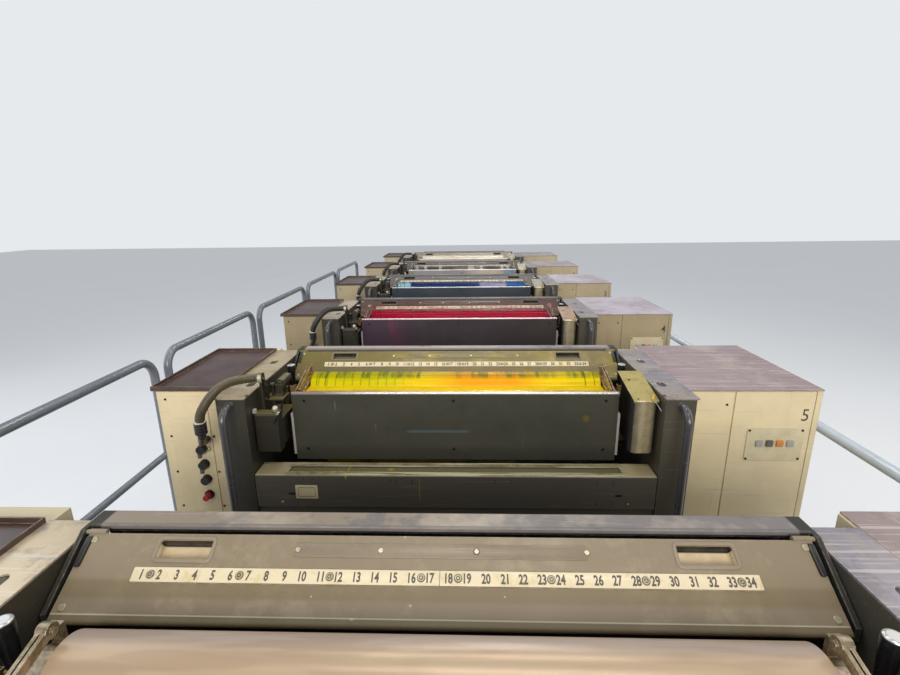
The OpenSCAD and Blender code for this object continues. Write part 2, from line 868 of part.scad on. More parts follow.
module zone_drive_covers() {
    color([0.62, 0.60, 0.56]) each_unit() zone_drive_cover();
}

// Left end of the fountain: gearbox of the duct roller with its motor, and the hose's clamp

// round rod from one point to another
module rod(p, q, r) {
    d = q - p;
    translate(p) rotate([0, acos(d[2] / norm(d)), atan2(d[1], d[0])]) cylinder(r = r, h = norm(d));
}

// rods through the points, with round joints
module bent_rod(points, r) {
    for (i = [0:len(points) - 2]) {
        rod(points[i], points[i + 1], r);
        if (i > 0) translate(points[i]) sphere(r = r + 0.6);
    }
}

module left_gearbox() {
    z0 = -170;
    top = -39;
    low_top = -78;
    step = drive_front + 40;
    plate_z = -24;
    motor_x = cover_x0 + 26;
    motor_z = 22;
    clamp_l = 12;
    start = HOSE_POINTS[0];
    mirror([1, 0, 0]) {
        across(cover_x0, cover_x1) polygon(concat(
            [[drive_front, z0], [step, z0], [step, top - 3], [step - 3, top]],
            arc(drive_front + 6, top - 6, 6, 90, 180, 3)));
        block(cover_x0 + 8, cover_x1, step - 1, drive_back, z0, low_top);
        block(cover_x1 - 1, inner, drive_front + 40, drive_back - 20, z0 + 30, z0 + 60);
        // plate on a post, a stay and the motor, its axis along the press
        block(cover_x0 + 6, cover_x1 - 4, step + 33, step + 95, plate_z, plate_z + 6);
        block(cover_x1 - 34, cover_x1 - 24, step + 50, step + 60, low_top - 1, plate_z);
        rod([cover_x0 + 22, step + 42, low_top - 3], [cover_x0 + 12, step + 42, plate_z + 1], 3);
        block(motor_x - 12, motor_x + 12, step + 60, step + 90, plate_z + 5, motor_z);
        translate([motor_x, drive_back + 4, motor_z]) rotate([90, 0, 0]) cylinder(r = 17, h = 72);
        translate([motor_x, drive_back - 68, motor_z]) rotate([90, 0, 0]) cylinder(r = 10, h = 6);
        translate([motor_x + 25, step + 70, plate_z + 5]) cylinder(r = 6, h = 34);
        translate([motor_x + 25, step + 70, plate_z + 43]) sphere(r = 9);
        // knob, bent lever and latch on the front corner
        translate([cover_x0 + 12, drive_front + 18, top - 1]) cylinder(r = 5, h = 10);
        translate([cover_x0 + 12, drive_front + 18, top + 12]) sphere(r = 9.5);
        bent_rod([[cover_x0 + 12, drive_front + 4, top - 26], [cover_x0 + 12, drive_front - 7, top - 26],
                  [cover_x0 - 8, drive_front - 7, top + 10]], 3.5);
        block(cover_x1 - 6, cover_x1 + 4, drive_front, drive_front + 12, top - 2, top + 15);
    }
    // collar that holds the start of the hose, on its post, and the leads out of it
    translate(start) {
        rotate([0, 90, 0]) cylinder(r = hose_r + 2.5, h = clamp_l);
        block(2, clamp_l - 2, -6, 6, low_top - start[2] - 1, -hose_r);
    }
    for (x = [0, 9])
        bent_rod([start + [6, x, 3 - x], start + [16, x - 1, -4 - x], start + [17, x + 2, -22 - x],
                  start + [12, x + 16, -52], start + [8, x + 31, plate_z - start[2] + 4]], 3.5);
}

module left_gearboxes() {
    color([0.36, 0.35, 0.28]) each_unit() left_gearbox();
}

// Cable hoses from the gearboxes to the left cabinets

function unit_v(v) = v / norm(v);
function tangent(p, i) = unit_v(p[min(i + 1, len(p) - 1)] - p[max(i - 1, 0)]);

// sweeps a round section along the points; the side vector stays near the press's own axes
module sweep_tube(p, r, sides) {
    n = len(p);
    rings = [for (i = [0:n - 1])
        let (t = i == 0 ? [-1, 0, 0] : i == n - 1 ? [0, 0, -1] : tangent(p, i),
             side = unit_v(cross([0.8, -0.6, 0], t)), up = cross(t, side))
        for (j = [0:sides - 1]) p[i] + r * (cos(360 * j / sides) * side + sin(360 * j / sides) * up)];
    faces = concat(
        [[for (j = [0:sides - 1]) j]],
        [for (i = [0:n - 2]) for (j = [0:sides - 1])
            let (a = i * sides + j, b = i * sides + (j + 1) % sides) [a, a + sides, b + sides, b]],
        [[for (j = [sides - 1:-1:0]) (n - 1) * sides + j]]);
    polyhedron(rings, faces);
}

module cable_hoses() {
    color([0.10, 0.10, 0.09]) each_unit() sweep_tube(HOSE_POINTS, hose_r, 10);
}

// ribbed end of a hose and the pipe that leads on into the cabinet's front
module hose_fitting() {
    l = 42;
    ribs = 4;
    end = hose_end - [0, 0, l];
    translate(end) {
        cylinder(r = hose_r + 1, h = l);
        for (i = [0:ribs - 1]) translate([0, 0, 4 + i * 10]) cylinder(r = hose_r + 4, h = 5);
    }
    out = -cabinet_front - raised_t;
    bent_rod([end + [0, 0, 6], end - [0, 0, 8], end + [-14, 20, -28], end + [-30, 46, -52],
              [end[0] - 38, out - 22, end[2] - 60], [end[0] - 38, out, end[2] - 60]], hose_r - 3);
}

module hose_fittings() {
    color([0.06, 0.06, 0.06]) each_unit() hose_fitting();
}

// Walking boards between the towers, and before the first and after the last one

// a board ends clear of the fillet at the tower's foot
board_front = tower_front + frame_fillet + seam;

module footboards() {
    color([0.35, 0.35, 0.36]) {
        for (k = [2:units]) at_unit(k) board(cover_back + seam, unit_pitch - board_front);
        at_unit(1) board(cover_back + seam, cell_back);
        at_unit(units) board(-cell_front, -board_front);
    }
}

module board(y0, y1) {
    block(-outer, outer, y0, y1, walk_z - footboard_t, walk_z);
}

// Covers along the foot of the press, one for each unit, with a recessed kick plate

module base_cover(x0, x1) {
    kick = 40;
    kick_h = 90;
    across_y(-cell_front, cell_back) polygon([
        [x0, floor_z], [x1 - kick, floor_z], [x1 - kick, floor_z + kick_h], [x1, floor_z + kick_h + 12],
        [x1, walk_z], [x0, walk_z]]);
    // raised door in the outer face
    for (s = [0, 1]) {
        y0 = s ? seam : -cell_front + 16;
        y1 = s ? cell_back - 16 : -seam;
        block(x1, x1 + 3, y0, y1, floor_z + kick_h + 30, walk_z - 40);
    }
}

// extrudes an outline drawn in (x, z) from y0 to y1
module across_y(y0, y1) {
    translate([0, y1, 0]) rotate([90, 0, 0]) linear_extrude(y1 - y0) children();
}

module base_covers_right() {
    color([0.82, 0.78, 0.66]) each_unit() base_cover(cabinet_x, right_out);
}

module base_covers_left() {
    color([0.82, 0.78, 0.66]) each_unit() mirror([1, 0, 0]) base_cover(cabinet_x, left_out);
}

// Galleries on both sides: decks on legs, with steps at the feeder end

deck_y0 = row_front + 100;
deck_y1 = row_back - 100;
deck_t = 6;
beam = 60;

module gallery(x0, w, h) {
    x1 = x0 + w;
    block(x0, x1, deck_y0, deck_y1, h - deck_t, h);
    for (x = [x0, x1 - 40]) block(x, x + 40, deck_y0, deck_y1, h - deck_t - beam, h - deck_t);
    legs = 6;
    for (i = [0:legs]) {
        y = deck_y0 + (deck_y1 - deck_y0 - 50) * i / legs;
        for (x = [x0, x1 - 40]) block(x, x + 40, y, y + 50, 0, h - deck_t - beam);
        block(x0 + 40, x1 - 40, y, y + 50, h - deck_t - beam, h - deck_t);
    }
    steps = 3;
    rise = h / steps;
    going = 230;
    for (i = [1:steps - 1]) {
        y = deck_y1 + (steps - i - 1) * going;
        block(x0 + 20, x1 - 20, y, y + going, i * rise - 30, i * rise);
    }
    for (x = [x0, x1 - 20]) across_stringer(x, steps, rise, going);
}

// stepped plate that carries the treads at one side
module across_stringer(x, steps, rise, going) {
    y0 = deck_y1;
    y1 = deck_y1 + (steps - 1) * going;
    across(x, x + 20) polygon([
        [y0, 0], [y1, 0], [y1, rise], [y1 - going, rise], [y1 - going, 2 * rise],
        [y0, 2 * rise]]);
}

left_deck_x = left_out + 10;
right_deck_x = right_out + 10;

module gallery_decks() {
    color([0.34, 0.34, 0.35]) {
        mirror([1, 0, 0]) gallery(left_deck_x, left_deck_w, left_deck_h);
        gallery(right_deck_x, right_deck_w, right_deck_h);
    }
}

// handrail hoops: bent tubes with a rail at half height, one for each unit
module hoop(x, y0, y1, z0, z1) {
    bend = 90;
    mid_z = (z0 + z1) / 2;
    for (y = [y0, y1]) translate([x, y, z0]) {
        cylinder(r = rail_r, h = z1 - z0 - bend);
        cylinder(r = rail_r + 18, h = 6);
    }
    translate([x, y0 + bend, z1]) rotate([-90, 0, 0]) cylinder(r = rail_r, h = y1 - y0 - 2 * bend);
    translate([x, y0, mid_z]) rotate([-90, 0, 0]) cylinder(r = rail_r * 0.8, h = y1 - y0);
    translate([x, y1 - bend, z1 - bend]) rotate([90, 0, 90]) hoop_bend(bend);
    translate([x, y0 + bend, z1 - bend]) rotate([90, 0, 90]) rotate([0, 0, 90]) hoop_bend(bend);
}

module hoop_bend(bend) {
    rotate_extrude(angle = 90) translate([bend, 0]) circle(r = rail_r, $fn = 24);
}

hoop_gap = 110;

module left_handrails() {
    x = -(left_deck_x + left_deck_w - 20);
    color([0.40, 0.44, 0.50]) for (k = [1:units]) {
        y0 = unit_y(k) - cell_front + hoop_gap;
        hoop(x, y0, y0 + unit_pitch - hoop_gap, left_deck_h, left_deck_h + rail_h);
    }
}

module right_handrail() {
    x = right_deck_x + right_deck_w - 20;
    post = (deck_y1 - deck_y0 - 200) / 3;
    top = right_deck_h + rail_h;
    color([0.72, 0.78, 0.84]) {
        hoop(x, deck_y0 + 100, deck_y1 - 100, right_deck_h, top);
        for (i = [1, 2]) translate([x, deck_y0 + 100 + post * i, right_deck_h]) {
            cylinder(r = rail_r, h = rail_h);
            cylinder(r = rail_r + 18, h = 6);
        }
    }
}

// Feeder: side walls, feed table, suction head and pile board

module feeder_frames() {
    color([0.80, 0.76, 0.65]) {
        both_sides() across(inner, inner + wall_t) difference() {
            polygon(concat(
                [[row_back + seam, 0], [feeder_end, 0]],
                arc(feeder_end - 60, feeder_h - 60, 60, 0, 90),
                arc(feeder_start + 60, feeder_h - 60, 60, 90, 180),
                [[feeder_start - 160, table_high + 140], [row_back + seam, table_low + 70]]));
            polygon(round_box(feeder_start + 220, 260, feeder_end - 160, feeder_h - 300, 60));
        }
        for (y = [feeder_start + 90, feeder_end - 90])
            bar_x(-inner, inner, y, feeder_h - 80, 40);
        // two bars that carry the chains of the pile board
        for (y = [feeder_pile_y0 + chain_in, feeder_pile_y1 - chain_in])
            block(-inner, inner, y - 25, y + 25, feeder_h - 116, feeder_h - 60);
        bar_x(-inner, inner, row_back + 300, 200, 40);
    }
}

// slanting table with its tapes, between the feeder and the first unit
module feed_table() {
    half = 560;
    t = 30;
    tapes = 6;
    slope = atan((table_high - table_low) / table_l);
    color([0.66, 0.66, 0.66]) {
        translate([0, row_back + 20, table_low]) rotate([slope, 0, 0]) {
            block(-half, half, 0, table_l, -t, 0);
            for (i = [0:tapes - 1]) {
                x = -half + 90 + i * (2 * half - 180) / (tapes - 1);
                block(x - 20, x + 20, 12, table_l - 12, 0, 3);
            }
            for (y = [90, table_l - 90]) bar_x(-inner, inner, y, -t - 18, 24);
        }
    }
}

// suction head over the far end of the pile, on a beam that rests on the side walls
module feeder_head() {
    y = feeder_pile_y1 - 250;
    z = feeder_h - 230;
    suckers = 8;
    color([0.40, 0.41, 0.43]) {
        block(-420, 420, y - 110, y + 110, z - 40, z + 70);
        for (x = [-260, 260]) block(x - 30, x + 30, y - 60, y + 60, z + 70, feeder_h);
        block(-inner - wall_t, inner + wall_t, y - 40, y + 40, feeder_h, feeder_h + 60);
        for (i = [0:suckers - 1]) {
            x = -350 + i * 700 / (suckers - 1);
            translate([x, y - 70, z - 90]) cylinder(r = 9, h = 60);
            translate([x, y - 70, z - 100]) cylinder(r1 = 18, r2 = 9, h = 12);
        }
    }
}

// pile board on two bearers, hung on four chain strips
module pile_board(y0, y1, top) {
    half = 500;
    board_t = 34;
    z = 150;
    block(-half, half, y0, y1, z, z + board_t);
    for (y = [y0 + chain_in, y1 - chain_in]) {
        block(-half - 60, half + 60, y - 25, y + 25, z - 50, z);
        both_sides() block(half + 30, half + 50, y - 15, y + 15, z, top);
    }
}

module pile_boards() {
    color([0.45, 0.36, 0.24]) {
        pile_board(feeder_pile_y0, feeder_pile_y1, feeder_h - 116);
        pile_board(delivery_end + 260, delivery_end + 1160, delivery_h - 110);
    }
}

// Delivery: side walls that rise to the high part, and the hood between them

module delivery_top_outline() {
    polygon([
        [rise_start, walk_h + 640], [rise_end, delivery_h], [delivery_end, delivery_h],
        [delivery_end, delivery_h - 110], [rise_end + 40, delivery_h - 110],
        [rise_start, walk_h + 530]]);
}

module delivery_frames() {
    color([0.80, 0.76, 0.65]) {
        both_sides() across(inner, inner + wall_t) difference() {
            polygon(concat(
                [[row_front - seam, 0], [row_front - seam, walk_h - footboard_t]],
                [[rise_start, walk_h - footboard_t], [rise_start, walk_h + 660]],
                arc(rise_end, delivery_h - 30, 50, 70, 90, 2),
                arc(delivery_end + 60, delivery_h - 40, 60, 90, 180),
                [[delivery_end, 0]]));
            polygon(round_box(delivery_end + 200, 240, delivery_end + 1220, delivery_h - 260, 60));
        }
        bar_x(-inner, inner, row_front - 300, 200, 45);
        bar_x(-inner, inner, rise_end - 200, 300, 45);
        block(-outer, outer, rise_start + seam, row_front - seam, walk_h - footboard_t, walk_h);
        // end board that the sheets stop against
        block(-inner, inner, delivery_end + 40, delivery_end + 60, delivery_h - 420, delivery_h - 110);
    }
}

// hood with four lids along its top
module delivery_hood() {
    lids = 4;
    gap = 24;
    lid_l = (delivery_l - 160) / lids - gap;
    color([0.30, 0.31, 0.33]) {
        across(-inner, inner) delivery_top_outline();
        for (i = [0:lids - 1]) {
            y = delivery_end + 80 + i * (lid_l + gap);
            block(-inner + 40, inner - 40, y, y + lid_l, delivery_h, delivery_h + 18);
            block(-60, 60, y + 30, y + 48, delivery_h + 18, delivery_h + 44);
        }
    }
}

side_frames_left();
side_frames_right();
frame_caps();
frame_stays();
grab_handles();
left_cabinets();
left_cabinet_panels();
left_trays();
push_buttons();
right_cabinets();
right_inner_panels();
right_outer_panels();
right_cabinet_tops();
key_panels();
fountain_fronts();
fountain_troughs();
fountain_cheeks();
ink_rollers();
printing_cylinders();
sheet_cylinders();
top_covers();
rear_covers();
front_boxes();
front_guards();
zone_drive_covers();
left_gearboxes();
cable_hoses();
hose_fittings();
for (k = [1:units]) {
    duct_roller(k);
    roller_guard(k);
    throw_levers(k);
}
footboards();
base_covers_left();
base_covers_right();
gallery_decks();
left_handrails();
right_handrail();
feeder_frames();
feed_table();
feeder_head();
pile_boards();
delivery_frames();
delivery_hood();
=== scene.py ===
"""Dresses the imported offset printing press: finishes, number strips, fasteners, ink and hoses."""

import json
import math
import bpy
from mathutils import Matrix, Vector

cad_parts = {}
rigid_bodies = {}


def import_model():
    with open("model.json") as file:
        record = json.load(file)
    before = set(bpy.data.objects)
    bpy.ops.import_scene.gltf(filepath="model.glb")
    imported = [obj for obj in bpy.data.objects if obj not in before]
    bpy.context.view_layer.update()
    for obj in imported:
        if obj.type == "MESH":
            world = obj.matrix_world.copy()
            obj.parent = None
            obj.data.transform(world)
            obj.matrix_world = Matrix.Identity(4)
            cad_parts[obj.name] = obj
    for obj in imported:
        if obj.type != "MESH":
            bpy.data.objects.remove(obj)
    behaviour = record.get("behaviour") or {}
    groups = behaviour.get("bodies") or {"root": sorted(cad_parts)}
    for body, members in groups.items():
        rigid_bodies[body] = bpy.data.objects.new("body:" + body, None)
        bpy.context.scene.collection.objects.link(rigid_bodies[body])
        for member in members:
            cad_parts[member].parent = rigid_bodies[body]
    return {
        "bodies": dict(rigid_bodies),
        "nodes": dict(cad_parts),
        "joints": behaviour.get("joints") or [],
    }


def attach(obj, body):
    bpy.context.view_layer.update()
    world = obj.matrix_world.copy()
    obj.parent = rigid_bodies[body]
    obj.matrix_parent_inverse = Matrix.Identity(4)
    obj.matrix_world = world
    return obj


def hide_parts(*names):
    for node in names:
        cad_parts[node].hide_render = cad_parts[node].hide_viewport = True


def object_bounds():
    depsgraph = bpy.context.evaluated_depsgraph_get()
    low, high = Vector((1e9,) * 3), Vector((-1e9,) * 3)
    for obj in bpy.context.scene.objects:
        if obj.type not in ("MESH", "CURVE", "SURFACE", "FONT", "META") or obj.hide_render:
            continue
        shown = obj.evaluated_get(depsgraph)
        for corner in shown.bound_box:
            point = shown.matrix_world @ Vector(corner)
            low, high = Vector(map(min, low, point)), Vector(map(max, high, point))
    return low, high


bl_info = {
    "name": "Offset Printing Press Dressing",
    "version": (1, 0, 0),
    "blender": (4, 5, 0),
    "location": "View3D > Sidebar > Press",
    "description": "Finishes and small parts for a six-colour sheet-fed offset printing press",
    "category": "Object",
}

import bmesh
import bpy
import numpy as np
from bpy.props import FloatProperty, FloatVectorProperty, PointerProperty
from mathutils import Matrix

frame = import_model()
CAD_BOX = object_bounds()

# the row of units, read from the hinges of the roller guards
HINGES = {j["child"]: j["pos_m"] for j in frame["joints"]}
UNITS = sum(name.startswith("roller_guard_") for name in frame["bodies"])
NUMBERS = range(1, UNITS + 1)
HINGE_BACK = 0.058
HINGE_UP = 0.038
PITCH = HINGES["roller_guard_1"][1] - HINGES["roller_guard_2"][1]
SCALE_H = HINGES["roller_guard_1"][2] - HINGE_UP
# share of the pitch that a unit reaches behind its scale
BACK_SHARE = 0.355

# sizes that the part's source gives, counted from the middle of a unit's scale
GUARD_SLOPE = math.radians(34.2)
ZONES = 34
ZONE = 0.030
BAR_TOP = 0.001
DUCT = (-0.148, -0.036)
DUCT_R = 0.055
FOUNTAIN_FACE = -0.290
LIP = -0.002
# the fountain blade: y + z on its face
BLADE = -0.2632
# the front edge of the top covers
COVER_EDGE = 0.068
BOX_FACE = -0.425
PANEL_FACE = -0.350
COVER_FACE = -0.353
# places on a guard: along its slope, and from its middle for the grips
PLATE_ALONG = 0.042
GRIP_X = 0.438
GRIP_ALONG = 0.0405
# the small plate on the front of a box: x and z
BOX_PLATE = (-0.470, -0.290)
HOSE_RADIUS = 0.0145
HOSE_POINTS = (
    (-0.622, -0.337, 0.066), (-0.634, -0.341, 0.067), (-0.648, -0.350, 0.068),
    (-0.663, -0.363, 0.070), (-0.680, -0.382, 0.072), (-0.697, -0.402, 0.070),
    (-0.713, -0.423, 0.061), (-0.729, -0.438, 0.044), (-0.744, -0.447, 0.023),
    (-0.757, -0.450, 0.002), (-0.767, -0.448, -0.018), (-0.773, -0.444, -0.038),
)

# the camera, fitted to the repeated units of the photograph
CAMERA_PLACE = (0.046, -3.453, 2.279)
CAMERA_YAW = math.radians(-2.1)
CAMERA_PITCH = math.radians(14.88)
CAMERA_ROLL = math.radians(0.78)
FOCAL_PIXELS = 480.6
PHOTO_WIDTH = 900

FLOOR_HALF = 30.0
SHARP_ANGLE = math.radians(38)


def shade(red, green, blue):
    """A linear colour from 8-bit display values."""
    c = np.array([red, green, blue]) / 255.0
    return tuple(np.where(c <= 0.04045, c / 12.92, ((c + 0.055) / 1.055) ** 2.4))


def colour_of(label, told, default):
    """A colour property with its name, its description and its default."""
    return FloatVectorProperty(name=label, description=told, subtype="COLOR", size=3,
                               min=0.0, max=1.0, default=default)


def length_of(label, told, default, low, high):
    """A length property in metres."""
    return FloatProperty(name=label, description=told, default=default, min=low, max=high,
                         unit="LENGTH", precision=4)


class PressSizes(bpy.types.PropertyGroup):
    """Sizes of the small parts."""

    strip_thickness: length_of("Strip thickness", "Thickness of a number strip",
                               0.0015, 0.0005, 0.003)
    strip_width: length_of("Strip width", "Width of a number strip along the slope",
                           0.0225, 0.016, 0.024)
    numeral_height: length_of("Numeral height", "Height of a zone number", 0.0150, 0.008, 0.018)
    digit_height: length_of("Unit digit height", "Height of the digit on a cabinet",
                            0.042, 0.02, 0.08)
    screw_radius: length_of("Screw radius", "Head radius of the small screws", 0.0045, 0.002, 0.008)
    cap_gap: length_of("Grip lip", "Width of the lip round a recessed grip", 0.005, 0.002, 0.01)
    ink_level: length_of("Ink level", "Height of the ink above the fountain blade",
                         0.010, 0.002, 0.02)
    rib_pitch: length_of("Hose rib pitch", "Distance between the ribs of a hose",
                         0.0065, 0.004, 0.02)
    rib_depth: length_of("Hose rib depth", "Depth of the ribs of a hose", 0.0008, 0.0, 0.002)


class PressColours(bpy.types.PropertyGroup):
    """Colours of the finishes."""

    frame_paint: colour_of("Frame paint", "Dark paint of frames and guards", shade(64, 61, 54))
    cream_paint: colour_of("Cream paint", "Paint of the cabinets", shade(218, 202, 165))
    guard_paint: colour_of("Guard paint", "Paint of the roller guards", shade(131, 118, 99))
    fountain_paint: colour_of("Fountain paint", "Paint of the fountain fronts", shade(66, 63, 56))
    strip_ivory: colour_of("Strip ivory", "Enamel of the number strips", shade(206, 192, 163))
    numeral_grey: colour_of("Numeral grey", "Ink of the numbers", shade(76, 70, 65))
    grip_black: colour_of("Grip black", "Plastic of grips and buttons", shade(22, 22, 24))
    stop_red: colour_of("Stop red", "Cap of the stop button", shade(178, 22, 42))
    ink_yellow: colour_of("Yellow ink", "Ink of the fifth unit", shade(216, 182, 0))
    ink_magenta: colour_of("Magenta ink", "Ink of the fourth unit", shade(142, 0, 34))
    ink_cyan: colour_of("Cyan ink", "Ink of the third unit", shade(0, 52, 108))
    rail_blue: colour_of("Handrail blue", "Paint of the left handrails", shade(112, 118, 128))
    rail_pale: colour_of("Pale rail", "Paint of the right handrail", shade(196, 208, 220))


# ---------------------------------------------------------------- meshes

def circle(sides, radius=1.0):
    """Points at equal angles on a circle: (r cos a, r sin a)."""
    a = np.arange(sides) * 2 * math.pi / sides
    return np.stack([np.cos(a), np.sin(a)], -1) * radius


def round_rectangle(half_x, half_y, corner, steps=3):
    """Four quarter circles of the corner radius about the corners' centres, in turn."""
    a = np.linspace(0, math.pi / 2, steps + 1)
    quarter = np.arange(4)[:, None] * math.pi / 2 + a
    signs = np.array([[1, 1], [-1, 1], [-1, -1], [1, -1]])
    centres = signs * (half_x - corner, half_y - corner)
    arcs = np.stack([np.cos(quarter), np.sin(quarter)], -1) * corner
    return (centres[:, None] + arcs).reshape(-1, 2)


def loft(rings, caps=True):
    """Quads between rings of the same number of points, from the first ring to the last;
    caps closes the two end rings with one face each."""
    rings = np.asarray(rings, float)
    count, sides = rings.shape[:2]
    r, s = np.meshgrid(np.arange(count - 1), np.arange(sides), indexing="ij")
    t = (s + 1) % sides
    quads = np.stack([r * sides + s, r * sides + t, (r + 1) * sides + t, (r + 1) * sides + s], -1)
    faces = quads.reshape(-1, 4).tolist()
    if caps:
        last = (count - 1) * sides
        faces += [list(range(sides))[::-1], list(range(last, last + sides))]
    return rings.reshape(-1, 3), faces


def stack_rings(outline, levels):
    """An outline in the plane, scaled and lifted for each level (scale, height)."""
    levels = np.asarray(levels, float)
    flat = outline[None] * levels[:, 0, None, None]
    height = np.broadcast_to(levels[:, 1, None, None], (*flat.shape[:2], 1))
    return np.concatenate([flat, height], -1)


def turned(profile, sides):
    """Each profile point (r, h) is turned round the axis, so a ring has r cos a, r sin a, h."""
    return loft(stack_rings(circle(sides), profile))


def hoop(radius, thick, sides=24, around=8):
    """A circle carried round a circle: (R + r cos b) cos a, (R + r cos b) sin a, r sin b."""
    a = np.arange(sides + 1)[:, None] * 2 * math.pi / sides
    b = circle(around, thick)
    reach, height = radius + b[None, :, 0], np.broadcast_to(b[:, 1], (sides + 1, around))
    return loft(np.stack([reach * np.cos(a), reach * np.sin(a), height], -1), caps=False)


def slab(half_x, half_y, thickness, corner, edge):
    """A plate with round corners whose upper edge is rounded off by edge."""
    steps = [(0.0, 0.0), (0.0, thickness - edge), (0.3 * edge, thickness - 0.3 * edge),
             (edge, thickness)]
    rings = []
    for inset, height in steps:
        flat = round_rectangle(half_x - inset, half_y - inset, max(corner - inset, edge * 0.2))
        rings.append(np.column_stack([flat, np.full(len(flat), height)]))
    return loft(rings)


def smooth_path(points, steps):
    """A Catmull-Rom curve through the points: each stretch is the cubic whose ends have the
    slope of the chord between their neighbours."""
    p = np.asarray(points, float)
    p = np.vstack([2 * p[0] - p[1], p, 2 * p[-1] - p[-2]])
    t = np.arange(steps)[None, :, None] / steps
    a, b, c, d = (p[i:len(p) - 3 + i, None] for i in range(4))
    curve = 0.5 * (2 * b + (c - a) * t + (2 * a - 5 * b + 4 * c - d) * t ** 2
                   + (3 * b - a - 3 * c + d) * t ** 3)
    return np.vstack([curve.reshape(-1, 3), p[-2]])


def tube(path, radius, sides, side_hint=(0.8, -0.6, 0.0)):
    """A circle carried along the path: side = hint x tangent, up = tangent x side, and a ring
    is path + radius (cos a side + sin a up). The radius may change along the path."""
    tangent = np.gradient(path, axis=0)
    tangent /= np.linalg.norm(tangent, axis=1)[:, None]
    side = np.cross(side_hint, tangent)
    side /= np.linalg.norm(side, axis=1)[:, None]
    up = np.cross(tangent, side)
    ring = circle(sides)
    radius = np.broadcast_to(radius, len(path))[:, None, None]
    across, along = ring[None, :, :1] * side[:, None], ring[None, :, 1:] * up[:, None]
    return loft(path[:, None] + radius * (across + along))


def moved(part, place, x_axis=(1, 0, 0), y_axis=(0, 1, 0)):
    """A part's points in the axes given, with the third axis square to both."""
    points, faces = part
    x_axis, y_axis = np.asarray(x_axis, float), np.asarray(y_axis, float)
    basis = np.stack([x_axis, y_axis, np.cross(x_axis, y_axis)])
    return points @ basis + np.asarray(place, float), faces


def joined(parts):
    """Several parts as one list of points and faces."""
    points, faces, start = [], [], 0
    for p, f in parts:
        points.append(p)
        faces += [[i + start for i in face] for face in f]
        start += len(p)
    return np.vstack(points), faces


def piece(name, parts, material, body="root", smooth=True):
    """A mesh object at the origin from the parts, with its normals turned outwards."""
    points, faces = joined(parts)
    mesh = bpy.data.meshes.new(name)
    mesh.from_pydata(points.tolist(), [], faces)
    work = bmesh.new()
    work.from_mesh(mesh)
    bmesh.ops.remove_doubles(work, verts=work.verts, dist=1e-6)
    bmesh.ops.recalc_face_normals(work, faces=work.faces)
    work.to_mesh(mesh)
    work.free()
    mesh.materials.append(material)
    if smooth:
        mesh.shade_smooth()
        mesh.set_sharp_from_angle(angle=SHARP_ANGLE)
    made = bpy.data.objects.new(name, mesh)
    bpy.context.scene.collection.objects.link(made)
    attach(made, body)
    return made


def scale_y(unit):
    """World y of the middle of a unit's scale."""
    return HINGES[f"roller_guard_{unit}"][1] - HINGE_BACK


def in_unit(unit, place):
    """A point given from the middle of a unit's scale, in the press's frame."""
    return (place[0], scale_y(unit) + place[1], SCALE_H + place[2])


# a front face looks along -y: its plan is x to the right and z up
FRONT = {"x_axis": (1, 0, 0), "y_axis": (0, 0, 1)}
ALONG_SLOPE = (0.0, math.cos(GUARD_SLOPE), math.sin(GUARD_SLOPE))
OFF_SLOPE = np.array([0.0, -math.sin(GUARD_SLOPE), math.cos(GUARD_SLOPE)])


def on_front(part, unit, x, y, z):
    """The part on a face that looks forward."""
    return moved(part, in_unit(unit, (x, y, z)), **FRONT)


def on_guard(part, unit, x, along, off):
    """The part on the slope of a roller guard, off metres above the sheet."""
    place = np.array(ALONG_SLOPE) * along + OFF_SLOPE * off + (x, 0, 0)
    return moved(part, in_unit(unit, place), (1, 0, 0), ALONG_SLOPE)


def screw(radius, height=None, sides=12):
    """A round screw head with a socket, turned from its profile."""
    h = height or radius * 0.6
    return turned([(radius, 0), (radius, 0.55 * h), (radius * 0.78, h), (radius * 0.48, h),
                   (radius * 0.42, 0.35 * h), (radius * 0.02, 0.3 * h)], sides)


def glyphs(text, height, bold=0.012, narrow=0.78):
    """The text as a thin solid, drawn upwards from its own middle; narrow squeezes its width."""
    curve = bpy.data.curves.new("numeral", "FONT")
    curve.body = text
    curve.size = height * 1.37
    curve.align_x = "CENTER"
    curve.align_y = "CENTER"
    curve.resolution_u = 3
    curve.offset = height * bold
    curve.extrude = 0.0001
    made = bpy.data.objects.new("numeral", curve)
    bpy.context.scene.collection.objects.link(made)
    mesh = bpy.data.meshes.new_from_object(made)
    points = np.zeros(len(mesh.vertices) * 3)
    mesh.vertices.foreach_get("co", points)
    faces = [list(p.vertices) for p in mesh.polygons]
    bpy.data.objects.remove(made)
    bpy.data.meshes.remove(mesh)
    bpy.data.curves.remove(curve)
    points = points.reshape(-1, 3)
    middle = (points.max(0) + points.min(0)) / 2
    return (points - middle) * (narrow, 1, 1), faces


# ---------------------------------------------------------------- materials

def add_node(tree, kind, plugs=None, **settings):
    """Adds a shader node; a plug takes a value or the socket that feeds it."""
    node = tree.nodes.new("ShaderNode" + kind)
    for name, value in settings.items():
        setattr(node, name, value)
    for plug, value in (plugs or {}).items():
        if isinstance(value, bpy.types.NodeSocket):
            tree.links.new(value, node.inputs[plug])
        else:
            node.inputs[plug].default_value = value
    return node


def calc(tree, operation, *values, clamp=False):
    """One Math node; returns its result."""
    return add_node(tree, "Math", dict(enumerate(values)), operation=operation,
                    use_clamp=clamp).outputs[0]


def blend_colours(tree, factor, first, second, kind="MIX"):
    """One colour Mix node; returns its result."""
    plugs = {0: factor, 6: opaque(first), 7: opaque(second)}
    return add_node(tree, "Mix", plugs, data_type="RGBA", blend_type=kind).outputs[2]


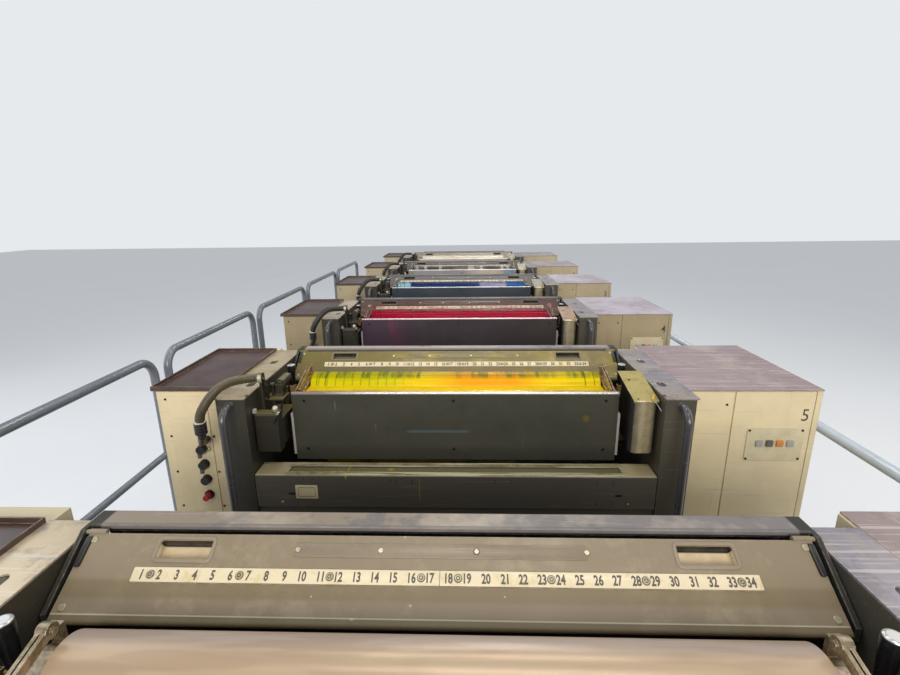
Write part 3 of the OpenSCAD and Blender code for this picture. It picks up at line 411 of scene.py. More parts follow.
def opaque(colour):
    """A colour socket as it is; whole numbers as 8-bit display values; full alpha."""
    if isinstance(colour, bpy.types.NodeSocket):
        return colour
    whole = all(isinstance(part, int) for part in colour)
    return (*(shade(*colour) if whole else tuple(colour)[:3]), 1.0)


def noise(tree, where, scale, detail=3.0, roughness=0.55):
    """A noise value from 0 to 1 at a place."""
    return add_node(tree, "TexNoise", {"Vector": where, "Scale": scale, "Detail": detail,
                                       "Roughness": roughness}).outputs[0]


def stretched(tree, where, scale, turn=(0.0, 0.0, 0.0)):
    """The place scaled by a different amount along each axis."""
    return add_node(tree, "Mapping", {"Vector": where, "Scale": scale, "Rotation": turn}).outputs[0]


def ramp(tree, value, low, high):
    """0 below low, 1 above high, straight between."""
    return add_node(tree, "MapRange", {0: value, 1: low, 2: high, 3: 0.0, 4: 1.0}).outputs[0]


def new_group(name, inputs, outputs):
    """An empty shader group; inputs are (name, kind, default), outputs (name, kind)."""
    tree = bpy.data.node_groups.new(name, "ShaderNodeTree")
    for label, kind, default in inputs:
        plug = tree.interface.new_socket(label, in_out="INPUT", socket_type="NodeSocket" + kind)
        plug.default_value = default
    for label, kind in outputs:
        tree.interface.new_socket(label, in_out="OUTPUT", socket_type="NodeSocket" + kind)
    return tree, tree.nodes.new("NodeGroupInput").outputs, tree.nodes.new("NodeGroupOutput").inputs


def place_group():
    """The place counted from the scale of the unit it is in, and that unit's number:
    row = 3.5 - y / pitch, unit = floor(row + back share), local y = (unit - row) pitch."""
    tree, _, out = new_group("Place in Unit", [], [("Local", "Vector"), ("Unit", "Float")])
    where = add_node(tree, "TexCoord").outputs["Object"]
    x, y, z = add_node(tree, "SeparateXYZ", {0: where}).outputs
    row = calc(tree, "SUBTRACT", (UNITS + 1) / 2, calc(tree, "DIVIDE", y, PITCH))
    unit = calc(tree, "FLOOR", calc(tree, "ADD", row, BACK_SHARE))
    local_y = calc(tree, "MULTIPLY", calc(tree, "SUBTRACT", unit, row), PITCH)
    local_z = calc(tree, "SUBTRACT", z, SCALE_H)
    local = add_node(tree, "CombineXYZ", {0: x, 1: local_y, 2: local_z}).outputs[0]
    tree.links.new(local, out["Local"])
    tree.links.new(unit, out["Unit"])
    return tree


def pick(tree, unit, colours):
    """The colour of a unit, from a constant ramp with a stop for each unit."""
    share = calc(tree, "DIVIDE", calc(tree, "SUBTRACT", unit, 0.5), UNITS)
    node = add_node(tree, "ValToRGB", {0: share})
    stops = node.color_ramp
    stops.interpolation = "CONSTANT"
    for i, colour in enumerate(colours):
        stop = stops.elements[0] if i == 0 else stops.elements.new(i / UNITS)
        stop.position = i / UNITS
        stop.color = colour
    stops.elements.remove(stops.elements[-1])
    return node.outputs


def ink_group(colours):
    """The ink that a unit prints with, and how much of it has got onto the unit's parts."""
    tree, _, out = new_group("Ink of the Unit", [], [("Color", "Color"), ("Strength", "Float")])
    place = add_node(tree, "Group", node_tree=bpy.data.node_groups["Place in Unit"])
    inks = [shade(70, 66, 70), shade(60, 62, 70), colours.ink_cyan, colours.ink_magenta,
            colours.ink_yellow, shade(120, 104, 80)]
    strengths = [0.25, 0.3, 0.55, 0.7, 1.0, 0.2]
    tints = pick(tree, place.outputs["Unit"], [(*tuple(i)[:3], s) for i, s in zip(inks, strengths)])
    tree.links.new(tints["Color"], out["Color"])
    tree.links.new(tints["Alpha"], out["Strength"])
    return tree


def wear_group():
    """Worn edges: where the normal of a rounded copy leaves the true one, broken up by noise."""
    tree, given, out = new_group(
        "Edge Wear", [("Radius", "Float", 0.003), ("Amount", "Float", 0.5),
                      ("Grain", "Float", 60.0)],
        [("Mask", "Float"), ("Normal", "Vector")])
    rounded = add_node(tree, "Bevel", {"Radius": given["Radius"]}, samples=4).outputs[0]
    true = add_node(tree, "NewGeometry").outputs["Normal"]
    same = add_node(tree, "VectorMath", {0: rounded, 1: true}, operation="DOT_PRODUCT").outputs[1]
    edge = ramp(tree, calc(tree, "SUBTRACT", 1.0, same), 0.01, 0.12)
    where = add_node(tree, "TexCoord").outputs["Object"]
    rough = ramp(tree, noise(tree, where, given["Grain"], 5.0, 0.7), 0.38, 0.62)
    worn = calc(tree, "MULTIPLY", calc(tree, "MULTIPLY", edge, rough), given["Amount"], clamp=True)
    tree.links.new(worn, out["Mask"])
    tree.links.new(rounded, out["Normal"])
    return tree


def blotch_group():
    """Two noises, a broad one and a fine one, as a patchy mask from 0 to 1."""
    tree, given, out = new_group(
        "Blotches", [("Scale", "Float", 5.0), ("Low", "Float", 0.45), ("High", "Float", 0.65)],
        [("Mask", "Float")])
    where = add_node(tree, "TexCoord").outputs["Object"]
    broad = noise(tree, where, given["Scale"], 4.0, 0.6)
    fine = noise(tree, where, calc(tree, "MULTIPLY", given["Scale"], 7.0), 3.0, 0.6)
    both = calc(tree, "ADD", calc(tree, "MULTIPLY", broad, 0.75),
                calc(tree, "MULTIPLY", fine, 0.25))
    spread = add_node(tree, "MapRange", {0: both, 1: given["Low"], 2: given["High"]}).outputs[0]
    tree.links.new(spread, out["Mask"])
    return tree


def streak_group():
    """Runs down a wall: noise drawn out along z, thinned, and broken along its length."""
    tree, given, out = new_group(
        "Streaks", [("Density", "Float", 30.0), ("Low", "Float", 0.60), ("High", "Float", 0.75)],
        [("Mask", "Float")])
    where = add_node(tree, "TexCoord").outputs["Object"]
    runs = noise(tree, stretched(tree, where, (1.0, 1.0, 0.06)), given["Density"], 3.0, 0.6)
    breaks = ramp(tree, noise(tree, where, 6.0, 2.0), 0.4, 0.6)
    spread = add_node(tree, "MapRange", {0: runs, 1: given["Low"], 2: given["High"]}).outputs[0]
    tree.links.new(calc(tree, "MULTIPLY", spread, breaks), out["Mask"])
    return tree


def scratch_group():
    """Fine lines in two directions: noise drawn out a hundredfold and cut to its peaks."""
    tree, given, out = new_group(
        "Scratches", [("Density", "Float", 140.0), ("Low", "Float", 0.66)], [("Mask", "Float")])
    where = add_node(tree, "TexCoord").outputs["Object"]
    masks = []
    for turn in ((0.3, 0.2, 0.5), (0.1, 0.4, -0.9)):
        lines = noise(tree, stretched(tree, where, (0.03, 1.0, 1.0), turn), given["Density"], 2.0)
        high = calc(tree, "ADD", given["Low"], 0.06)
        spread = add_node(tree, "MapRange", {0: lines, 1: given["Low"], 2: high}).outputs[0]
        masks.append(spread)
    tree.links.new(calc(tree, "MAXIMUM", *masks), out["Mask"])
    return tree


class Finish:
    """A material being built: what feeds the shader's colour, roughness, metal and normal."""

    def __init__(self, name, colour, roughness=0.5, metallic=0.0):
        self.material = bpy.data.materials.new(name)
        self.material.use_nodes = True
        self.tree = self.material.node_tree
        self.shader = self.tree.nodes["Principled BSDF"]
        self.colour, self.roughness, self.metallic = colour, roughness, metallic
        self.normal, self.heights = None, []
        self.where = add_node(self.tree, "TexCoord").outputs["Object"]

    def group(self, name, output=0, **plugs):
        """One of the shared groups, with its own values; returns an output."""
        node = add_node(self.tree, "Group", node_tree=bpy.data.node_groups[name])
        for plug, value in plugs.items():
            node.inputs[plug].default_value = value
        return node.outputs[output]

    def local(self):
        """The place counted from the unit's scale, as x, y, z."""
        return add_node(self.tree, "SeparateXYZ", {0: self.group("Place in Unit")}).outputs

    def along_guard(self):
        """The place on a roller guard: along its slope, and off its sheet."""
        x, y, z = self.local()
        both = []
        for a, b in ((math.cos(GUARD_SLOPE), math.sin(GUARD_SLOPE)),
                     (-math.sin(GUARD_SLOPE), math.cos(GUARD_SLOPE))):
            both.append(self.calc("ADD", self.calc("MULTIPLY", y, a), self.calc("MULTIPLY", z, b)))
        return both

    def calc(self, operation, *values, clamp=False):
        """One Math node of this material."""
        return calc(self.tree, operation, *values, clamp=clamp)

    def ramp(self, value, low, high):
        """0 below low, 1 above high."""
        return ramp(self.tree, value, low, high)

    def noise(self, where, *settings):
        """A noise value of this material."""
        return noise(self.tree, where, *settings)

    def stretched(self, where, *settings):
        """The place scaled along each axis."""
        return stretched(self.tree, where, *settings)

    def blotches(self, scale, low, high):
        """Patches as a mask."""
        return self.group("Blotches", Scale=scale, Low=low, High=high)

    def cover(self, masks, colour=None, roughness=None, metallic=None):
        """Lays another finish over this one where the mask, or the product of several, is 1."""
        mask = self.both(*masks) if isinstance(masks, tuple) else masks
        if colour is not None:
            self.colour = blend_colours(self.tree, mask, self.colour, colour)
        if roughness is not None:
            self.roughness = self.mixed(mask, self.roughness, roughness)
        if metallic is not None:
            self.metallic = self.mixed(mask, self.metallic, metallic)
        return self

    def by_unit(self, *colours):
        """One colour for each unit."""
        return pick(self.tree, self.group("Place in Unit", 1), map(opaque, colours))[0]

    def in_units(self, low, high):
        """1 in the units from low to high."""
        return self.between(self.group("Place in Unit", 1), low - 0.5, high + 0.5, 0.1)

    def spot(self, first, second, centre, half):
        """A soft ellipse: 1 where ((u - u0) / a)^2 + ((v - v0) / b)^2 is well under 1."""
        parts = []
        for value, middle, size in zip((first, second), centre, half):
            away = self.calc("DIVIDE", self.calc("SUBTRACT", value, middle), size)
            parts.append(self.calc("MULTIPLY", away, away))
        return self.ramp(self.calc("ADD", *parts), 1.4, 0.5)

    def mixed(self, mask, first, second):
        """One value Mix node."""
        return add_node(self.tree, "Mix", {0: mask, 2: first, 3: second},
                        data_type="FLOAT").outputs[0]

    def both(self, *masks):
        """The product of several masks."""
        product = masks[0]
        for mask in masks[1:]:
            product = self.calc("MULTIPLY", product, mask)
        return product

    def between(self, value, low, high, soft=0.002):
        """1 between low and high, with soft ends."""
        up = self.ramp(value, low - soft, low + soft)
        down = self.ramp(value, high + soft, high - soft)
        return self.both(up, down)

    def facing_up(self, low=0.6, high=0.9):
        """1 where the surface faces up."""
        normal = add_node(self.tree, "NewGeometry").outputs["Normal"]
        z = add_node(self.tree, "SeparateXYZ", {0: normal}).outputs[2]
        return self.ramp(z, low, high)

    def mottle(self, colour, scale, amount=0.5, low=0.4, high=0.7):
        """Soft patches of a second colour."""
        mask = self.blotches(scale, low, high)
        return self.cover((mask, amount), colour)

    def wear(self, colour, radius=0.0025, amount=0.7, grain=60.0, roughness=0.35, metallic=None):
        """Rounded edges that are worn down to another colour."""
        mask = self.group("Edge Wear", Radius=radius, Amount=amount, Grain=grain)
        self.normal = mask.node.outputs["Normal"]
        return self.cover(mask, colour, roughness, metallic)

    def streaks(self, colour, density=30.0, amount=0.5, low=0.60, high=0.75):
        """Runs down upright faces."""
        mask = self.group("Streaks", Density=density, Low=low, High=high)
        return self.cover((mask, amount), colour)

    def scratches(self, colour, density=140.0, amount=0.5, low=0.66):
        """Fine light or dark lines."""
        mask = self.group("Scratches", Density=density, Low=low)
        return self.cover((mask, amount), colour)

    def inked(self, amount, scale=9.0, low=0.45, high=0.62):
        """Smears of the unit's own ink."""
        ink = self.group("Ink of the Unit")
        strength = ink.node.outputs["Strength"]
        mask = self.blotches(scale, low, high)
        return self.cover((mask, strength, amount), ink)

    def grain(self, scale, depth, stretch=None, detail=3.0):
        """Bumps of this depth in metres; stretch draws them out."""
        where = self.where if stretch is None else self.stretched(self.where, stretch)
        self.heights.append((self.noise(where, scale, detail), depth))
        return self

    def patchy_gloss(self, spread=0.15, scale=8.0):
        """Varies the roughness by up to spread either way."""
        value = self.noise(self.where, scale, 4.0, 0.6)
        swing = self.calc("MULTIPLY", self.calc("SUBTRACT", value, 0.5), 2 * spread)
        self.roughness = self.calc("ADD", self.roughness, swing, clamp=True)
        return self

    def done(self, coat=0.0, specular=0.5, coat_roughness=0.1):
        """Links everything to the shader and returns the material."""
        inputs = self.shader.inputs
        feeds = {"Base Color": opaque(self.colour), "Roughness": self.roughness,
                 "Metallic": self.metallic}
        for plug, value in feeds.items():
            if isinstance(value, bpy.types.NodeSocket):
                self.tree.links.new(value, inputs[plug])
            else:
                inputs[plug].default_value = value
        inputs["Coat Weight"].default_value = coat
        inputs["Coat Roughness"].default_value = coat_roughness
        inputs["Specular IOR Level"].default_value = specular
        normal = self.normal
        for height, depth in self.heights:
            plugs = {"Height": height, "Distance": depth, "Strength": 1.0}
            if normal is not None:
                plugs["Normal"] = normal
            normal = add_node(self.tree, "Bump", plugs).outputs[0]
        if normal is not None:
            self.tree.links.new(normal, inputs["Normal"])
        return self.material


def paint(name, colour, dirt, roughness=0.42, dirt_amount=0.5, worn=None, wear=0.5, ink=0.0,
          streaks=0.3, scratches=0.25, gloss=0.12):
    """Sheet-metal paint: patches of dirt, runs, scratches, ink smears and worn edges."""
    made = Finish(name, colour, roughness)
    made.mottle(dirt, 3.0, dirt_amount)
    made.streaks(dirt, 34.0, streaks)
    if ink:
        made.inked(ink, 34.0, 0.56, 0.66)
    if scratches:
        made.scratches(worn or dirt, amount=scratches)
    made.patchy_gloss(gloss)
    if worn:
        made.wear(worn, amount=wear)
    return made.grain(700.0, 0.00004)


def dress(material, *nodes):
    """Gives CAD nodes this material."""
    for name in nodes:
        mesh = frame["nodes"][name].data
        mesh.materials.clear()
        mesh.materials.append(material)


def each_unit(prefix):
    """The names of a node that each unit has."""
    return [f"{prefix}_{k}" for k in NUMBERS]


# ---------------------------------------------------------------- operators

class PRESS_OT_stage(bpy.types.Operator):
    """Adds the camera, the pale floor, the soft lamps and the world"""

    bl_idname = "press.stage"
    bl_label = "Stage"

    def execute(self, context):
        self.add_camera(context.scene)
        self.add_world(context.scene)
        self.add_floor()
        self.add_lamps()
        context.scene.view_settings.view_transform = "Standard"
        return {"FINISHED"}

    def add_camera(self, scene):
        """Looks forward, then down by the pitch and round by the roll."""
        cy, sy = math.cos(CAMERA_YAW), math.sin(CAMERA_YAW)
        cp, sp = math.cos(CAMERA_PITCH), math.sin(CAMERA_PITCH)
        forward = np.array([sy * cp, cy * cp, -sp])
        level = np.array([cy, -sy, 0.0])
        below = np.cross(forward, level)
        right = math.cos(CAMERA_ROLL) * level + math.sin(CAMERA_ROLL) * below
        down = -math.sin(CAMERA_ROLL) * level + math.cos(CAMERA_ROLL) * below
        turn = Matrix([*zip(right, -down, -forward)]).to_4x4()
        data = bpy.data.cameras.new("camera")
        data.sensor_width = 36.0
        data.lens = FOCAL_PIXELS / PHOTO_WIDTH * data.sensor_width
        data.clip_start, data.clip_end = 0.02, 200.0
        camera = bpy.data.objects.new("camera", data)
        camera.matrix_world = Matrix.Translation(CAMERA_PLACE) @ turn
        scene.collection.objects.link(camera)
        scene.camera = camera

    def add_world(self, scene):
        """Soft light from all round; the camera and glossy rays see a pale backdrop."""
        world = bpy.data.worlds.new("studio")
        world.use_nodes = True
        tree = world.node_tree
        path = add_node(tree, "LightPath").outputs
        seen = calc(tree, "MAXIMUM", path["Is Camera Ray"], path["Is Transmission Ray"])
        light = add_node(tree, "Background", {0: (0.86, 0.93, 1.0, 1), 1: 0.42})
        pale = add_node(tree, "Background", {0: (0.80, 0.82, 0.84, 1), 1: 1.0})
        glossy = add_node(tree, "Background", {0: (0.74, 0.78, 0.86, 1), 1: 0.5})
        first = add_node(tree, "MixShader", {0: path["Is Glossy Ray"], 1: light.outputs[0],
                                             2: glossy.outputs[0]})
        second = add_node(tree, "MixShader", {0: seen, 1: first.outputs[0], 2: pale.outputs[0]})
        tree.links.new(second.outputs[0], tree.nodes["World Output"].inputs[0])
        scene.world = world

    def add_floor(self):
        """A plain pale sheet under the press."""
        low, high = CAD_BOX
        middle = (low[1] + high[1]) / 2
        ring = FLOOR_HALF * np.array([(-1, -1), (1, -1), (1, 1), (-1, 1)])
        mesh = bpy.data.meshes.new("floor")
        points = np.column_stack([ring[:, 0], ring[:, 1] + middle, np.full(4, low[2] - 0.001)])
        mesh.from_pydata(points.tolist(), [], [[0, 1, 2, 3]])
        made = Finish("pale floor", (190, 191, 193), 0.7)
        made.mottle((182, 183, 186), 0.6, 0.5).done(specular=0.1)
        self.lift_for_camera(made)
        mesh.materials.append(made.material)
        floor = bpy.data.objects.new("floor", mesh)
        bpy.context.scene.collection.objects.link(floor)

    def lift_for_camera(self, made):
        """Camera and glossy rays see the floor a little paler; its shadows stay."""
        tree = made.tree
        path = add_node(tree, "LightPath").outputs
        seen = calc(tree, "MAXIMUM", path["Is Camera Ray"], path["Is Glossy Ray"])
        glow = add_node(tree, "Emission", {0: (0.80, 0.82, 0.84, 1), 1: 0.36})
        glow_seen = add_node(tree, "MixShader", {0: seen, 2: glow.outputs[0]})
        both = add_node(tree, "AddShader", {0: made.shader.outputs[0], 1: glow_seen.outputs[0]})
        tree.links.new(both.outputs[0], tree.nodes["Material Output"].inputs[0])

    def add_lamps(self):
        """Strips over the row, one lamp at each side and one in front, and two small ones
        for the gloss."""
        warm, cool = (1.0, 0.96, 0.90), (0.88, 0.94, 1.0)
        lamps = [(f"strip {n}", (0.2, -6.4 + 2.6 * n, 5.4), (0.0, 0.0, 0.0), (2.6, 0.35), 31.0,
                  warm)
                 for n in range(6)]
        lamps += [
            ("left side", (-6.0, -1.0, 4.0), (0.0, -0.95, 0.0), (8.0, 5.0), 170.0, cool),
            ("right side", (6.0, -1.0, 4.0), (0.0, 0.95, 0.0), (8.0, 5.0), 150.0, warm),
            ("front", (0.0, -9.5, 4.2), (1.05, 0.0, 0.0), (6.0, 3.0), 500.0, warm),
            ("tube near", (0.35, 0.4, 3.9), (0.0, 0.0, 0.0), (0.5, 0.1), 6.0, warm),
            ("tube far", (0.5, 3.6, 4.1), (0.0, 0.0, 0.0), (0.6, 0.12), 8.0, warm),
        ]
        for name, place, turn, size, power, tint in lamps:
            data = bpy.data.lights.new(name, "AREA")
            data.shape = "RECTANGLE"
            data.size, data.size_y = size
            data.energy = power
            data.color = tint
            lamp = bpy.data.objects.new(name, data)
            lamp.location = place
            lamp.rotation_euler = turn
            bpy.context.scene.collection.objects.link(lamp)


class PRESS_OT_frames(bpy.types.Operator):
    """Paints the side frames, caps, boxes, guards and boards"""

    bl_idname = "press.frames"
    bl_label = "Frames"

    def execute(self, context):
        colours = context.scene.press_colours
        dirt, bare = (92, 84, 64), (128, 118, 106)
        dark = paint("frame paint", colours.frame_paint, dirt, 0.40, 0.35,
                     bare, 0.55, 0.0, 0.25, 0.2)
        dress(dark.done(), "side_frames_right", "frame_stays", "rear_covers", "front_guards")
        dark = paint("left frame paint", (48, 45, 38), (70, 66, 52), 0.42, 0.35,
                     bare, 0.5, 0.0, 0.25, 0.15)
        dress(dark.done(), "side_frames_left")
        self.dress_boxes()
        self.dress_caps()
        grip = paint("handle paint", (66, 64, 66), (48, 46, 46), 0.30, 0.5,
                     (150, 146, 140), 0.4, 0.0, 0.2, 0.2)
        dress(grip.done(coat=0.3), "grab_handles")
        self.dress_boards()
        self.add_box_details(context.scene.press_sizes)
        return {"FINISHED"}

    def dress_boxes(self):
        """Dark fronts; the top is rubbed down to stained metal, darker in the slot, and ink
        has dripped on the fifth box."""
        made = paint("box paint", (76, 72, 67), (84, 78, 62), 0.40, 0.3,
                     (140, 130, 112), 0.6, 0.0, 0.15, 0.2)
        up = made.facing_up()
        x, y, z = made.local()
        made.cover(up, (152, 143, 104), 0.36, 0.25)
        made.cover((up, made.blotches(14.0, 0.45, 0.6)), (116, 106, 72), 0.5)
        made.cover((up, made.blotches(60.0, 0.5, 0.6), 0.6), (96, 90, 52))
        made.cover((up, made.group("Scratches", Density=90.0, Low=0.56)), (196, 188, 160))
        slot = made.both(up, made.ramp(z, -0.233, -0.236))
        made.cover(slot, (104, 100, 62), 0.5)
        ends = made.both(up, made.ramp(made.calc("ABSOLUTE", x), 0.53, 0.55))
        made.cover(ends, (176, 162, 126), 0.36)
        fifth = made.in_units(5, 5)
        stains = [made.spot(x, y, centre, (0.009, 0.005)) for centre in
                  ((-0.389, -0.394), (-0.365, -0.393), (-0.204, -0.378))]
        for stain in stains:
            made.cover((stain, up, fifth, 0.8), (190, 160, 20), 0.3)
        for u, v, wide, tall, amount in ((-0.341, -0.237, 0.0016, 0.009, 0.8),
                                         (-0.107, -0.281, 0.0018, 0.045, 0.25)):
            made.cover((made.spot(x, z, (u, v), (wide, tall)), fifth, amount), (180, 156, 10))
        dress(made.done(), "front_boxes")

    def dress_caps(self):
        """Ground steel under worn varnish: straw on the left side, lilac on the right, and
        yellow stains on the fifth."""
        made = Finish("cap steel", (150, 144, 152), 0.30, 0.4)
        x, y, z = made.local()
        left = made.ramp(x, 0.01, -0.01)
        made.cover(left, (198, 180, 150))
        made.mottle((180, 164, 140), 7.0, 0.6, 0.45, 0.6)
        made.mottle((112, 104, 104), 16.0, 0.5, 0.5, 0.62)
        fifth = made.both(left, made.in_units(5, 5))
        made.cover((fifth, 0.3), (190, 168, 110), 0.3)
        made.cover((fifth, made.blotches(9.0, 0.5, 0.62), 0.4), (150, 130, 70))
        made.scratches((206, 198, 190), 120.0, 0.55, 0.6)
        made.patchy_gloss(0.15, 12.0).wear((214, 206, 196), 0.002, 0.6)
        dress(made.grain(420.0, 0.00005).done(), "frame_caps")

    def dress_boards(self):
        """Tread plate: short bars in two directions, on every other field of a grid."""
        made = Finish("tread plate", (120, 120, 118), 0.34, 0.8)
        bars = []
        for turn in (math.pi / 4, -math.pi / 4):
            place = made.stretched(made.where, (38.0, 38.0, 0.0), (0.0, 0.0, turn))
            cell = add_node(made.tree, "TexVoronoi",
                            {"Vector": made.stretched(place, (1.0, 0.36, 1.0)),
                                                      "Scale": 1.0, "Randomness": 0.0}).outputs[0]
            bars.append(made.ramp(cell, 0.26, 0.16))
        height = made.calc("MAXIMUM", *bars)
        made.mottle((70, 66, 60), 5.0, 0.7).mottle((96, 84, 62), 18.0, 0.4)
        made.cover((height, 0.5), (170, 170, 168), 0.25)
        made.heights.append((height, 0.0012))
        dress(made.patchy_gloss(0.12).done(), "footboards")

    def add_box_details(self, sizes):
        """Screws, black discs and slots painted as the shade inside drilled holes, and a plate with
        a thin frame on the front of each box.
        """
        steel = Finish("screw steel", (150, 146, 138), 0.32, 0.9)
        steel = steel.mottle((84, 78, 66), 160.0, 0.6).patchy_gloss(0.15, 90.0).done()
        black = Finish("blackened screw", (26, 25, 24), 0.35, 0.5)
        black = black.mottle((62, 58, 50), 150.0, 0.4).done()
        heads, holes, plates, rims = [], [], [], []
        # a thin black disc for each drilled hole: painted shade
        hole = turned([(0.0022, 0), (0.002, 0.00012), (0.0001, 0.00012)], 10)
        places = [(-0.479, -0.244), (-0.448, -0.244), (-0.503, -0.328), (-0.450, -0.328),
                  (-0.195, -0.247)]
        for x, z in ((-0.182, -0.2515), (-0.131, -0.251), (0.133, -0.249), (0.184, -0.2485),
                     (0.4505, -0.2525), (0.501, -0.252), (0.451, -0.324), (0.501, -0.3235)):
            places += [(x, z - 0.0043), (x, z + 0.0043)]
        outline = round_rectangle(1.0, 1.0, 0.06)
        ring = [np.column_stack([outline * (0.0275 + a, 0.0165 + a), np.full(len(outline), h)])
                for a, h in ((0.0, 0.0004), (0.0, 0.0016), (-0.0011, 0.0016), (-0.0011, 0.0004),
                             (0.0, 0.0004))]
        frame_part = loft(ring, caps=False)
        for k in NUMBERS:
            for side in (-1, 1):
                heads.append(on_front(screw(sizes.screw_radius * 1.15), k, side * 0.551, BOX_FACE,
                                      -0.328))
                # thin black slots for the slotted holes: painted shade
                holes.append(on_front(slab(0.011, 0.004, 0.0002, 0.003, 0.0001), k, side * 0.520,
                                      BOX_FACE, -0.297))
            holes += [on_front(hole, k, x, BOX_FACE, z) for x, z in places]
            plates.append(on_front(slab(0.036, 0.024, 0.0012, 0.003, 0.0004), k, BOX_PLATE[0],
                                   BOX_FACE, BOX_PLATE[1]))
            rims.append(on_front(frame_part, k, BOX_PLATE[0], BOX_FACE, BOX_PLATE[1]))
        piece("box_screws", heads, steel)
        piece("box_holes", holes, black)
        cream = Finish("plate cream", (196, 184, 150), 0.45)
        cream = cream.mottle((150, 138, 104), 40.0, 0.5).done()
        grey = Finish("plate grey", (74, 68, 58), 0.5)
        grey = grey.mottle((104, 96, 78), 60.0, 0.7).done()
        piece("box_plates", plates, cream)
        piece("box_plate_frames", rims, grey)


class PRESS_OT_cabinets(bpy.types.Operator):
    """Finishes the cabinets and adds screws, unit digits, keys and buttons"""

    bl_idname = "press.cabinets"
    bl_label = "Cabinets"

    def execute(self, context):
        colours = context.scene.press_colours
        dirt, bare = (140, 120, 84), (110, 98, 78)
        cream = paint("cream paint", colours.cream_paint, dirt, 0.38, 0.28,
                      bare, 0.25, 0.12, 0.35, 0.15)
        # a grey factor for each unit: painted light and shade that differ from unit to unit
        tints = cream.by_unit((212, 212, 214), (212, 210, 209), (210, 208, 207),
                              (190, 186, 182), (255, 255, 255), (228, 228, 228))
        cream.colour = blend_colours(cream.tree, 1.0, cream.colour, tints, "MULTIPLY")
        dress(cream.done(), "left_cabinets", "left_cabinet_panels", "right_cabinets",
              "right_inner_panels", "right_outer_panels", "base_covers_left", "base_covers_right")
        self.dress_tops()
        self.dress_panels(colours)
        self.add_details(context.scene.press_sizes)
        return {"FINISHED"}

    def dress_tops(self):
        """Worn tops in each unit's own tint, rubbed shiny, and dark ink-stained trays."""
        made = Finish("worn top", (150, 132, 130), 0.26)
        made.colour = made.by_unit((160, 150, 150), (166, 158, 160), (196, 190, 202),
                                   (190, 182, 198), (150, 132, 134), (146, 130, 128))
        made.mottle((122, 102, 98), 3.0, 0.6, 0.42, 0.6)
        made.mottle((184, 170, 158), 9.0, 0.5, 0.5, 0.62)
        made.scratches((196, 184, 176), 90.0, 0.5, 0.6)
        made.patchy_gloss(0.14, 6.0).wear((210, 200, 186), 0.002, 0.7)
        dress(made.grain(300.0, 0.00006).done(), "right_cabinet_tops")
        made = Finish("tray paint", (74, 54, 47), 0.32)
        made.mottle((98, 78, 70), 6.0, 0.6).mottle((40, 30, 28), 11.0, 0.6)
        made.patchy_gloss(0.16, 9.0).wear((196, 180, 150), 0.002, 0.9, 40.0)
        dress(made.grain(200.0, 0.00008).done(), "left_trays")

    def dress_panels(self, colours):
        """Key panels, and the push buttons with their red stop caps."""
        made = Finish("key panel", (206, 194, 162), 0.45)
        made.mottle((150, 136, 100), 20.0, 0.4).wear((120, 108, 84), 0.0015, 0.5)
        dress(made.done(), "key_panels")
        made = Finish("button plastic", colours.grip_black, 0.28)
        x, y, z = made.local()
        stop = made.both(made.ramp(z, -0.332, -0.334), made.ramp(y, -0.360, -0.3605))
        made.cover(stop, colours.stop_red, 0.25)
        made.mottle((34, 31, 28), 60.0, 0.2).wear((60, 55, 50), 0.001, 0.15)
        dress(made.done(specular=0.3), "push_buttons")

    def add_details(self, sizes):
        """Screws and key rings of the panels, the unit digits, the keys and the signal lamps."""
        black = bpy.data.materials["blackened screw"]
        heads, digits, lamps = [], [], []
        keys = {"grey": [], "dark": [], "orange": []}
        order = ("grey", "dark", "orange", "grey")
        cap = slab(0.0108, 0.0108, 0.0056, 0.003, 0.0012)
        head = screw(sizes.screw_radius * 0.85)
        for k in NUMBERS:
            for row in range(4):
                z = -0.003 - 0.1305 * row
                for x in (-0.933, -0.790):
                    heads.append(on_front(head, k, x, PANEL_FACE, z))
            for x in (0.936, 1.099):
                for z in (-0.106, -0.204):
                    heads.append(on_front(head, k, x, COVER_FACE, z))
            for x in (0.756, 0.856):
                for z in (-0.02, -0.5, -1.0):
                    heads.append(on_front(head, k, x, PANEL_FACE, z))
            digits.append(on_front(glyphs(str(k), sizes.digit_height, 0.004, 0.9), k, 1.100,
                                   PANEL_FACE - 0.0001, -0.055))
            for i, name in enumerate(order):
                x = 1.0175 + (i - 1.5) * 0.032
                keys[name].append(on_front(cap, k, x, COVER_FACE, -0.150))
            for z in (-0.203, -0.260):
                lamps.append(on_front(slab(0.006, 0.008, 0.005, 0.001, 0.0008), k, -0.846,
                                      COVER_FACE, z))
        piece("cabinet_screws", heads, black)
        rings = [on_front(hoop(0.0078, 0.0011), k, -0.8095, PANEL_FACE - 0.012, -0.172)
                 for k in NUMBERS]
        piece("key_rings", rings, bpy.data.materials["screw steel"])
        ink = Finish("digit ink", (58, 56, 54), 0.5).mottle((96, 90, 78), 120.0, 0.4).done()
        piece("unit_digits", digits, ink, smooth=False)
        tints = {"grey": (158, 156, 152), "dark": (86, 84, 84), "orange": (206, 128, 52)}
        for name, parts in keys.items():
            made = Finish(f"{name} key", tints[name], 0.4).mottle((90, 80, 64), 90.0, 0.3)
            piece(f"{name}_keys", parts, made.grain(900.0, 0.00003).done())
        made = Finish("lamp lens", (30, 58, 40), 0.15).mottle((20, 30, 24), 200.0, 0.5)
        piece("signal_lamps", lamps, made.done(coat=0.6))


